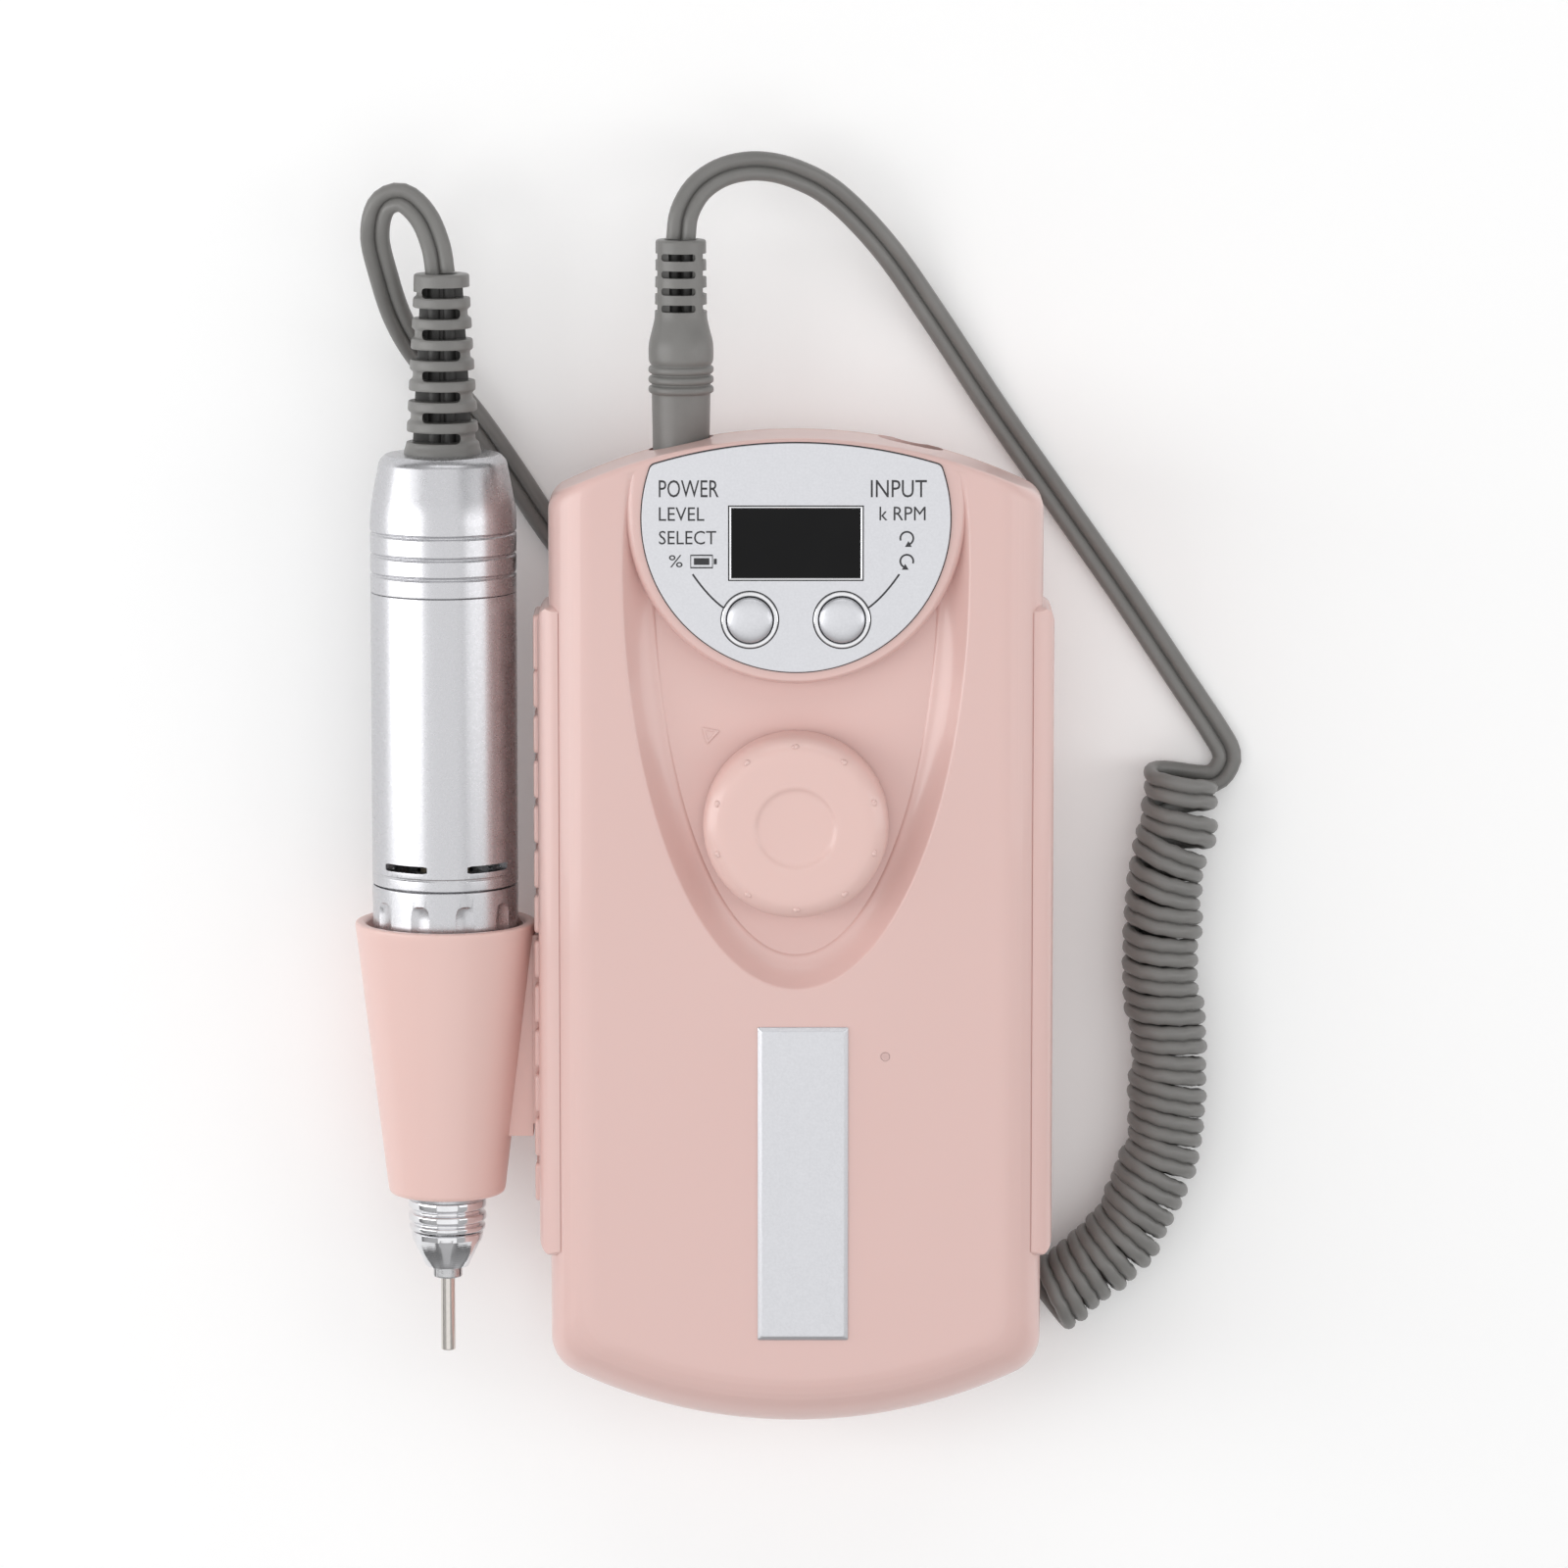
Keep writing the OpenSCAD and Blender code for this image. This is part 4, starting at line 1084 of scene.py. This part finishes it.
def stroke(points, width, closed=False):
    """A flat line of a given width through points of the plate."""
    spots = [Vector(p) for p in points]
    count = len(spots)
    left, right = [], []
    for i, p in enumerate(spots):
        before = spots[i - 1] if closed or i else p
        after = spots[(i + 1) % count] if closed or i < count - 1 else p
        ahead = (after - before).normalized()
        side = Vector((-ahead.y, ahead.x)) * width / 2
        left.append(tuple(p + side))
        right.append(tuple(p - side))
    rings = [[(*a, INK_Z - INK_T / 2), (*b, INK_Z - INK_T / 2), (*b, INK_Z + INK_T / 2),
              (*a, INK_Z + INK_T / 2)] for a, b in zip(left, right)]
    return loft(rings, closed=closed, caps=not closed)


def arc_points(x, y, radius, start, stop, steps):
    return [(x + radius * math.cos(math.radians(start + (stop - start) * k / steps)),
             y + radius * math.sin(math.radians(start + (stop - start) * k / steps)))
            for k in range(steps + 1)]


def turn_arrow(x, y, radius, start, stop):
    """A round arrow from one angle to another, its head at the second."""
    way = 1 if stop > start else -1
    line = arc_points(x, y, radius, start, stop, 14)
    tip_angle = math.radians(stop)
    tip = Vector(line[-1])
    ahead = Vector((-math.sin(tip_angle), math.cos(tip_angle))) * way
    side = Vector((math.cos(tip_angle), math.sin(tip_angle)))
    head = [tuple(tip + side * 0.55), tuple(tip + ahead * 0.95), tuple(tip - side * 0.55)]
    arrow = prism(head, INK_Z - INK_T / 2, INK_Z + INK_T / 2, lambda u, v, level: (u, v, level))
    return joined(stroke(line, 0.3), arrow)


def plate_marks():
    lettering("label_power", "POWER", -22.0, 72.1, 2.8, 9.6)
    lettering("label_level", "LEVEL", -22.0, 68.3, 2.2, 7.3)
    lettering("label_select", "SELECT", -22.0, 64.5, 2.2, 9.2)
    lettering("label_percent", "%", -20.4, 60.8, 2.0, 2.2)
    lettering("label_input", "INPUT", 12.0, 72.1, 2.8, 9.0)
    lettering("label_rate", "k RPM", 13.4, 68.4, 2.2, 7.4)
    battery = stroke([(-16.9, 60.75), (-13.4, 60.75), (-13.4, 62.75), (-16.9, 62.75)], 0.26, True)
    fill = prism([(-16.4, 61.2), (-13.9, 61.2), (-13.9, 62.3), (-16.4, 62.3)], INK_Z - INK_T / 2,
                 INK_Z + INK_T / 2, lambda u, v, level: (u, v, level))
    cap = prism([(-13.2, 61.3), (-12.7, 61.3), (-12.7, 62.2), (-13.2, 62.2)], INK_Z - INK_T / 2,
                INK_Z + INK_T / 2, lambda u, v, level: (u, v, level))
    ink("battery_icon", *joined(battery, fill, cap))
    ink("turn_icons", *joined(turn_arrow(17.8, 65.5, 1.05, 200, -60),
                              turn_arrow(17.8, 61.8, 1.05, -20, 240)))
    for side, name in ((-1, "left_leader"), (1, "right_leader")):
        leader = [(side * (16.6 - 4.9 * t), 59.7 - 5.4 * t + 0.9 * t * (t - 1) * 2)
                  for t in [k / 14 for k in range(15)]]
        ink(name, *stroke(leader, 0.3))


plate_marks()

# ---- Rails, click strip, feet ----


def shrink(outline, inset):
    """Draws an outline's points in towards its middle by about the same amount all round."""
    us, vs = [p[0] for p in outline], [p[1] for p in outline]
    mid_u, mid_v = (min(us) + max(us)) / 2, (min(vs) + max(vs)) / 2
    half_u, half_v = (max(us) - min(us)) / 2, (max(vs) - min(vs)) / 2
    return [(mid_u + (u - mid_u) * (half_u - inset) / half_u,
             mid_v + (v - mid_v) * (half_v - inset) / half_v) for u, v in outline]


RAIL_T = 1.8
RAIL_WRAP = 1.6


def rail_base(name, side, node):
    """Smooth raised base on one side of the case; its front edge wraps over the rounding."""
    low, high = extent(node)
    outer_x, inner_x = SIDE_X + RAIL_T, SIDE_X - RAIL_WRAP
    shoulder_z = FACE_Z - 5.8
    section = [(SIDE_X - 0.3, low.z), (outer_x, low.z)]
    section += [(inner_x + (outer_x - inner_x) * math.cos(math.pi / 2 * k / 12),
                 shoulder_z + (high.z - shoulder_z) * math.sin(math.pi / 2 * k / 12))
                for k in range(13)]
    section += [(SIDE_X - edge_inset(SIDE_ROUND, FACE_Z - z) - 0.3, z)
                for z in (high.z - 0.5, high.z - 1.5, high.z - 2.5, high.z - 3.5, high.z - 5)]
    rail = build(name, *prism(section, low.y, high.y, lambda x, z, y: (side * x, y, z)),
                 shell_plastic)
    ends = fillet([(low.y, low.z), (high.y, low.z), (high.y, high.z + 0.5),
                   (low.y, high.z + 0.5)], 3, 8)
    cut(rail, prism(ends, SIDE_X - 6, SIDE_X + 6, lambda y, z, x: (side * x, y, z)), "INTERSECT")
    plan = fillet([(SIDE_X - 6, low.y), (outer_x, low.y), (outer_x, high.y),
                   (SIDE_X - 6, high.y)], [0, 3.2, 3.2, 0], 8)
    cut(rail, prism(plan, low.z - 2, high.z + 2, lambda x, y, z: (side * x, y, z)), "INTERSECT")
    soften(rail, 0.3, 3, 50)
    finish_piece(rail, "case", (node,), math.radians(50))


def click_strip():
    """Two rows of teeth along the left rail's channel, with a solid block at the top end."""
    low, high = extent("left_rail")
    base_x = -SIDE_X - RAIL_T
    strip_z = (14.5, 27.5)
    mid_z = sum(strip_z) / 2
    pitch, first, count = 7.4, -37.9, 11
    rows = ((strip_z[0] + 0.6, mid_z - 2.5), (mid_z + 2.5, strip_z[1] - 0.6))
    teeth = []
    for i in range(-1, count):
        y0 = first + pitch * i + 0.6
        y1 = y0 + pitch - 1.2
        teeth += [(y0, y1, *row) for row in rows]
    teeth.append((first + pitch * count - 0.6, high.y - 2, rows[0][0], rows[1][1]))
    shapes = []
    for y0, y1, z0, z1 in teeth:
        y0 = max(y0, low.y + 1.5)
        tooth = fillet([(y0, z0), (y1, z0), (y1, z1), (y0, z1)], 0.8, 4)
        shapes.append(loft([[(x, u, v) for u, v in shrink(tooth, inset)] for x, inset in (
            (base_x + 0.4, 0), (low.x + 0.4, 0), (low.x + 0.12, 0.15), (low.x, 0.45))]))
    strip = build("click_strip", *joined(*shapes), shell_plastic)
    finish_piece(strip, "case", ("left_rail",), math.radians(50))


rail_base("left_rail_base", -1, "left_rail")
rail_base("right_rail_base", 1, "right_rail")
click_strip()


def feet():
    low, high = extent("rubber_feet")
    shapes = []
    for x, y in FEET:
        profile = fillet([(0, low.z), (3.4, low.z), (4, low.z + 1.0), (4, high.z), (0, high.z)],
                         [0, 0.6, 0.6, 0.2, 0], 5)
        shapes.append(turned(profile, along_z(x, y), 64))
    pads = build("rubber_pads", *joined(*shapes), black_rubber)
    finish_piece(pads, "case", ("rubber_feet",))


feet()

# ---- Holder ----


def holder():
    low, high = extent("handpiece_holder")
    top_y, bottom_y = high.y, low.y
    top_r, bottom_r, wall = 14.75, 9.5, 2.3
    profile = [(bottom_r - wall, bottom_y), (bottom_r, bottom_y), (top_r - 0.3, top_y - 3.2),
               (top_r, top_y - 0.9), (top_r, top_y), (top_r - wall + 0.6, top_y),
               (top_r - wall, top_y - 2.4)]
    radii = [0.6, 1.0, 1.6, 0.5, 0.7, 0.7, 0.8]
    points, faces = turned(fillet(profile, radii, 6), ON_HANDPIECE, 160)
    cup = build("holder_cup", points, faces, holder_plastic)
    mid_z = AXIS_Z + 1
    rail_face = extent("left_rail")[0].x
    bracket_y0 = -34.6
    arm = build("holder_arm", *box_shape(HAND_X + 8, rail_face - 0.4, bracket_y0, top_y - 0.6,
                                         mid_z - 5.5, mid_z + 2), holder_plastic)
    bore = [(0, bottom_y - 2), (bottom_r - wall + 0.5, bottom_y - 2),
            (top_r - wall + 0.5, top_y + 2), (0, top_y + 2)]
    cut(arm, turned(bore, ON_HANDPIECE, 96))
    soften(arm, 0.9, 4, 50)
    foot = joined(box_shape(rail_face - 0.5, rail_face + 1.3, bracket_y0 + 2, top_y - 2,
                            mid_z - 2, mid_z + 2),
                  box_shape(rail_face + 1.1, rail_face + 1.8, bracket_y0 + 2, top_y - 2,
                            mid_z - 3.5, mid_z + 3.5))
    tee = build("holder_foot", *foot, holder_plastic)
    soften(tee, 0.2, 2)
    finish_piece(cup, "holder", ("handpiece_holder",))
    finish_piece(arm, "holder", ("handpiece_holder",))
    finish_piece(tee, "holder", ("handpiece_holder",))


holder()

# ---- Handpiece ----


def relief_radius(y):
    """Outer radius of the handpiece's bend relief at a station."""
    high = extent("strain_relief")[1]
    start = extent("tail_cap")[1].y + 0.6
    return 6.0 + (4.4 - 6.0) * (y - start) / (high.y - start)


def half_turn_slot(x, y, height, side, radius):
    """A cutter for one slot: a rounded window that runs out at one side."""
    reach = radius + 3
    inner = -3.1 * side
    ends = (inner, side * reach)
    x0, x1 = x + min(ends), x + max(ends)
    outline = fillet([(x0, y - height / 2), (x1, y - height / 2), (x1, y + height / 2),
                      (x0, y + height / 2)], height * 0.45, 4)
    return prism(outline, AXIS_Z - reach, AXIS_Z + reach, lambda u, v, level: (u, v, level))


def strain_relief():
    cap_y1 = extent("tail_cap")[1].y
    low, high = extent("strain_relief")
    count, pitch, slot_h = 8, 3.35, 1.75
    first = cap_y1 + 2 + slot_h / 2
    profile = [(1.3, low.y), (8, low.y), (8, cap_y1 - 2), (6.3, cap_y1 - 2), (6.3, cap_y1 + 0.5),
               (6.0, cap_y1 + 1.3)]
    radii = [0, 0.2, 0.2, 0, 0.4, 0.3]
    for i in range(count):
        y = first + pitch * i
        for dy, dr in ((-slot_h / 2 - 0.05, 0.0), (-slot_h / 2 + 0.35, -0.55),
                       (slot_h / 2 - 0.35, -0.55), (slot_h / 2 + 0.05, 0.0)):
            profile.append((relief_radius(y + dy) + dr, y + dy))
            radii.append(0.28)
    profile += [(4.55, high.y - 3.0), (4.5, high.y), (2.6, high.y), (2.4, low.y + 6)]
    radii += [0.2, 0.5, 0.3, 0]
    boot = lathe("bend_relief", profile, ON_HANDPIECE, grey_rubber, radii, 96, 3)
    slots = []
    for i in range(count):
        side = -1 if i % 2 == 0 else 1
        slots.append(half_turn_slot(HAND_X, first + pitch * i, slot_h, side, 6))
    cut(boot, joined(*slots))
    finish_piece(boot, "handpiece", ("strain_relief",))
    # Inside the boot: a flat dark sheet and the lead's two strands, in the darkened grey, as painted
    # shade seen through the slots.
    stations = [low.y + 0.5 + (high.y - low.y - 0.8) * k / 12 for k in range(13)]
    core = [[(HAND_X + (relief_radius(max(y, cap_y1)) - 1.1) * math.cos(a), y,
              AXIS_Z + 0.7 * math.sin(a)) for a in [math.tau * k / 32 for k in range(32)]]
            for y in stations]
    strands = [[(HAND_X + u, y, AXIS_Z + v) for u, v in twin_outline()] for y in stations]
    inner_lead_and_shade = build("lead_and_shade_in_relief", *joined(loft(core), loft(strands)), painted_shade_rubber)
    finish_piece(inner_lead_and_shade, "handpiece", ("strain_relief",))


strain_relief()


def tail_cap():
    low, high = extent("tail_cap")
    r = BARREL_R
    rings = []
    for y in (58.2, 61.4, 64.9):
        rings += [(r, y - 0.35), (r - 0.28, y - 0.1), (r - 0.28, y + 0.1), (r, y + 0.35)]
    profile = [(r - 1.6, low.y), (r, low.y)] + rings + [
        (r, 68.3), (10.35, high.y - 1.0), (9.3, high.y), (6.1, high.y), (6.1, high.y - 1.9),
        (8.6, high.y - 1.9), (r - 1.6, 68)]
    radii = [0.1, 0.2] + [0.12] * len(rings) + [2.5, 0.6, 0.35, 0.2, 0.1, 0.1, 0.2]
    cap = lathe("tail_cap_turned", profile, ON_HANDPIECE, anodised, radii, 160, 5)
    finish_piece(cap, "handpiece", ("tail_cap",), math.radians(28))


def barrel():
    low, high = extent("barrel")
    r = BARREL_R
    line_y = 9.1
    profile = [(10.5, low.y), (r, low.y), (r, line_y - 0.22), (r - 0.16, line_y),
               (r, line_y + 0.22), (r, high.y), (10.5, high.y)]
    tube = lathe("barrel_tube", profile, ON_HANDPIECE, anodised,
                 [0.1, 0.2, 0.08, 0.1, 0.08, 0.2, 0.1], 192, 3)
    arc, height, count = math.radians(40), 1.2, 5
    slots = []
    for i in range(count):
        start = math.radians(122 - 72 * i) - arc / 2
        rings = []
        for k in range(13):
            a = start + arc * k / 12
            half = height / 2 * (0.75 if k in (0, 12) else 1)
            rings.append([(HAND_X + rr * math.cos(a), 10.8 + yy, AXIS_Z + rr * math.sin(a))
                          for rr, yy in ((9.5, -half), (13, -half), (13, half), (9.5, half))])
        slots.append(loft(rings))
    cut(tube, joined(*slots))
    finish_piece(tube, "handpiece", ("barrel",), math.radians(28))


def grip():
    low, high = extent("grip_sleeve")
    profile = [(7, high.y), (BARREL_R, high.y), (BARREL_R, -1), (10.6, -8), (6.6, low.y + 1.4),
               (6.5, low.y), (6.25, low.y), (6.25, low.y + 4), (7, low.y + 12)]
    sleeve = lathe("twist_grip", profile, ON_HANDPIECE, anodised,
                   [0.1, 0.25, 2, 3, 0.5, 0.2, 0.1, 0.1, 0.3], 192, 6)
    scoops = []
    for i in range(10):
        angle = math.radians(36 * i)
        x = HAND_X + (BARREL_R + 3.75) * math.cos(angle)
        z = AXIS_Z + (BARREL_R + 3.75) * math.sin(angle)
        profile = [(0, -10.2), (4.2, -10), (4.2, 2.6)]
        profile += [(4.2 - 0.5 * (k / 8) ** 2, 2.6 + 2.2 * math.sin(math.pi / 2 * k / 8))
                    for k in range(1, 9)] + [(0, 5)]
        scoops.append(turned(profile, along_y(x, z), 32))
    cut(sleeve, joined(*scoops))
    finish_piece(sleeve, "grip", ("grip_sleeve",), math.radians(28))


def nose():
    low, high = extent("nose_ring")
    profile = [(3.3, high.y), (6.4, high.y), (6.4, -46.8), (5.85, -47.1), (5.85, -47.5),
               (6.4, -47.8), (6.4, -48.9), (5.85, -49.2), (5.85, -49.5), (6.3, -49.8),
               (6.2, low.y), (3.3, low.y)]
    ring = lathe("ribbed_nose_ring", profile, ON_HANDPIECE, bright_metal,
                 [0.1, 0.25, 0.3, 0.1, 0.1, 0.3, 0.3, 0.1, 0.1, 0.2, 0.3, 0.1], 128, 4)
    finish_piece(ring, "grip", ("nose_ring",))


def flatted_nut():
    """Cone with six flats; each ring of points is the nearer of the cone and the flats."""
    low, high = extent("collet_nut")
    y0, y1 = high.y, low.y
    rings, sides = [], 144
    stations = [(4.2, 4.2, y0), (5.7, 6.2, y0), (5.9, 6.0, y0 - 0.25), (5.85, 5.75, y0 - 1.1),
                (5.55, 5.15, y0 - 2.0), (4.9, 4.5, y0 - 3.4), (4.3, 3.95, y0 - 4.6),
                (3.75, 3.6, y1 + 0.35), (3.5, 3.5, y1), (2.4, 2.4, y1), (2.4, 2.4, y1 + 3.4),
                (3.02, 3.02, y1 + 4.0), (3.02, 3.02, y0 - 0.2)]
    for round_r, flat_r, y in stations:
        ring = []
        for k in range(sides):
            a = math.tau * k / sides
            off = (a + math.pi / 6) % (math.pi / 3) - math.pi / 6
            r = min(round_r, flat_r / math.cos(off))
            ring.append(ON_HANDPIECE(r, a, y))
        rings.append(ring)
    nut = build("collet_nut_cone", *loft(rings, closed=True, caps=False), bright_metal)
    finish_piece(nut, "rotor", ("collet_nut",), math.radians(22))


def bit():
    low, high = extent("bit_shank")
    r = 1.175
    profile = [(0, low.y), (r, low.y), (r, high.y), (0, high.y)]
    pin = lathe("plain_bit", profile, ON_HANDPIECE, bit_steel, [0, 0.25, 0.1, 0], 64, 4)
    finish_piece(pin, "rotor", ("bit_shank",))
    low, high = extent("collet")
    profile = [(r + 0.02, low.y), (2.35, low.y), (2.35, -52.2), (2.0, -52.2), (2.0, high.y),
               (r + 0.02, high.y)]
    sleeve = lathe("slit_collet", profile, ON_HANDPIECE, steel, [0.1, 0.35, 0, 0, 0.1, 0.1], 64, 4)
    slit = 0.3
    cuts = []
    for i in range(3):
        a = math.radians(120 * i + 30)
        across, out = (-math.sin(a) * slit / 2, math.cos(a) * slit / 2), (math.cos(a), math.sin(a))
        corners = [(across[0], across[1]), (-across[0], -across[1]),
                   (-across[0] + 4 * out[0], -across[1] + 4 * out[1]),
                   (across[0] + 4 * out[0], across[1] + 4 * out[1])]
        cuts.append(prism(corners, low.y - 1, low.y + 9,
                          lambda u, v, level: (HAND_X + u, level, AXIS_Z + v)))
    cut(sleeve, joined(*cuts))
    finish_piece(sleeve, "rotor", ("collet",))


tail_cap()
barrel()
grip()
nose()
flatted_nut()
bit()

# ---- Plug ----


def plug():
    low, high = extent("plug_body")
    profile = [(2.8, low.y), (4.6, low.y), (4.75, 86.6)]
    radii = [0.1, 0.3, 0.4]
    for y in (87.7, 89.3, 90.9):
        profile += [(4.75, y - 0.35), (5.3, y - 0.1), (5.3, y + 0.75), (4.8, y + 1.0)]
        radii += [0.2, 0.35, 0.35, 0.2]
    profile += [(5.25, 92.6), (5.3, 95.4), (4.6, 98), (4.25, 99.6), (4.1, high.y - 3.4)]
    radii += [0.5, 1.5, 1.5, 0.6, 0.2]
    profile += [(4.1, high.y), (2.7, high.y), (2.5, 99.5), (2.8, 84)]
    radii += [0.5, 0.3, 0.2, 0.2]
    boot = lathe("plug_boot", profile, ON_PLUG, grey_rubber, radii, 96, 4)
    slots = []
    for i in range(4):
        y = 101.3 + 2.75 * i
        for side in (-1, 1):
            x0, x1 = (PLUG_X - 3.1, PLUG_X + 2.4)
            outline = fillet([(x0, y - 0.6), (x1, y - 0.6), (x1, y + 0.6), (x0, y + 0.6)], 0.5, 4)
            z0, z1 = (AXIS_Z + 1.8, AXIS_Z + 8) if side > 0 else (AXIS_Z - 8, AXIS_Z - 1.8)
            slots.append(prism(outline, z0, z1, lambda u, v, level: (u, v, level)))
        outline = fillet([(y - 0.55, AXIS_Z - 2.4), (y + 0.55, AXIS_Z - 2.4),
                          (y + 0.55, AXIS_Z + 2.4), (y - 0.55, AXIS_Z + 2.4)], 0.5, 4)
        slots.append(prism(outline, PLUG_X + 3.55, PLUG_X + 8, lambda u, v, level: (level, u, v)))
        slots.append(prism(outline, PLUG_X - 8, PLUG_X - 3.8, lambda u, v, level: (level, u, v)))
    cut(boot, joined(*slots))
    finish_piece(boot, "case", ("plug_body",))
    # The lead's two strands inside the boot, in the darkened grey: painted shade seen through the
    # slots.
    core = [[(PLUG_X + u, y, AXIS_Z + v) for u, v in twin_outline()]
            for y in (99.8, high.y - 0.2)]
    inner = build("shaded_lead_in_plug", *loft(core), painted_shade_rubber)
    finish_piece(inner, "case", ("plug_body",))
    low, high = extent("plug_barrel")
    profile = [(1.1, low.y), (2.72, low.y), (2.72, high.y), (1.1, high.y)]
    metal = lathe("plug_barrel_turned", profile, ON_PLUG, bright_metal, [0.2, 0.3, 0.1, 0.1], 64, 4)
    finish_piece(metal, "case", ("plug_barrel",))
    return boot, inner, metal


plug_pieces = plug()
declare_lead(curly_lead, curly_line)
for loop_piece, loop_line in loops:
    declare_lead(loop_piece, loop_line)

# ---- Materials of the CAD parts that stay ----

CAD_FINISHES = {
    "display_module": circuit_board, "tact_switches": black_plastic, "potentiometer": steel,
    "potentiometer_shaft": steel, "main_board": circuit_board, "battery_cells": cell_wrap,
    "battery_tray": black_plastic, "battery_strips": bright_metal, "battery_leads": wire_red,
    "charge_led": led_plastic, "output_socket": black_plastic, "charge_socket": black_plastic,
    "case_screws": steel, "motor_can": steel, "field_magnets": ferrite,
    "motor_brushes": carbon, "motor_bearings": bright_metal, "rotor_core": copper,
    "commutator": copper, "motor_shaft": steel, "cooling_fan": black_plastic,
    "shaft_coupling": coupling_plastic, "spindle": steel, "spindle_bearings": bright_metal,
    "bearing_tube": anodised}

for node, material in CAD_FINISHES.items():
    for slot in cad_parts[node].material_slots:
        slot.material = material

# ---- Stage and lights ----


def stage():
    half = 3.0
    mesh = bpy.data.meshes.new("floor")
    mesh.from_pydata([(-half, -half, 0), (half, -half, 0), (half, half, 0), (-half, half, 0)], [],
                     [(0, 1, 2, 3)])
    mesh.materials.append(floor_paper())
    floor = bpy.data.objects.new("floor", mesh)
    bpy.context.collection.objects.link(floor)
    floor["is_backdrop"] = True


def softbox(name, direction, distance, width, height, power):
    """A soft light that hangs in a direction from the object and faces it."""
    light = bpy.data.lights.new(name, "AREA")
    light.shape = "RECTANGLE"
    light.size = width
    light.size_y = height
    light.energy = power
    lamp = bpy.data.objects.new(name, light)
    middle = at(0, 15, 20)
    back = Vector(direction).normalized()
    lamp.location = middle + back * distance
    lamp.rotation_euler = back.to_track_quat("Z", "Y").to_euler()
    lamp.visible_camera = False
    bpy.context.collection.objects.link(lamp)


stage()
softbox("left_box", (-1, 0.05, 0.46), 0.9, 0.40, 1.1, 3.9)
softbox("right_box", (1, 0.05, 0.46), 0.9, 0.36, 1.1, 1.9)
softbox("ceiling", (0, -0.05, 1), 1.5, 1.8, 1.8, 6.2)
softbox("end_box", (0.1, 1, 0.7), 1.3, 1.2, 0.5, 1.8)

def studio_world():
    """White all round, brighter overhead than near the horizon."""
    world = bpy.data.worlds.new("studio")
    world.use_nodes = True
    nodes, links = world.node_tree.nodes, world.node_tree.links
    place = nodes.new("ShaderNodeTexCoord")
    split = nodes.new("ShaderNodeSeparateXYZ")
    level = nodes.new("ShaderNodeMapRange")
    level.inputs["From Min"].default_value = 0.02
    level.inputs["From Max"].default_value = 0.35
    level.inputs["To Min"].default_value = 0.16
    level.inputs["To Max"].default_value = 0.50
    links.new(place.outputs["Generated"], split.inputs["Vector"])
    links.new(split.outputs["Z"], level.inputs["Value"])
    links.new(level.outputs["Result"], nodes["Background"].inputs["Strength"])
    nodes["Background"].inputs["Color"].default_value = (1, 1, 1, 1)
    bpy.context.scene.world = world


studio_world()

new_low, new_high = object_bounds()
[list(v) for v in (cad_low, cad_high, new_low, new_high)]
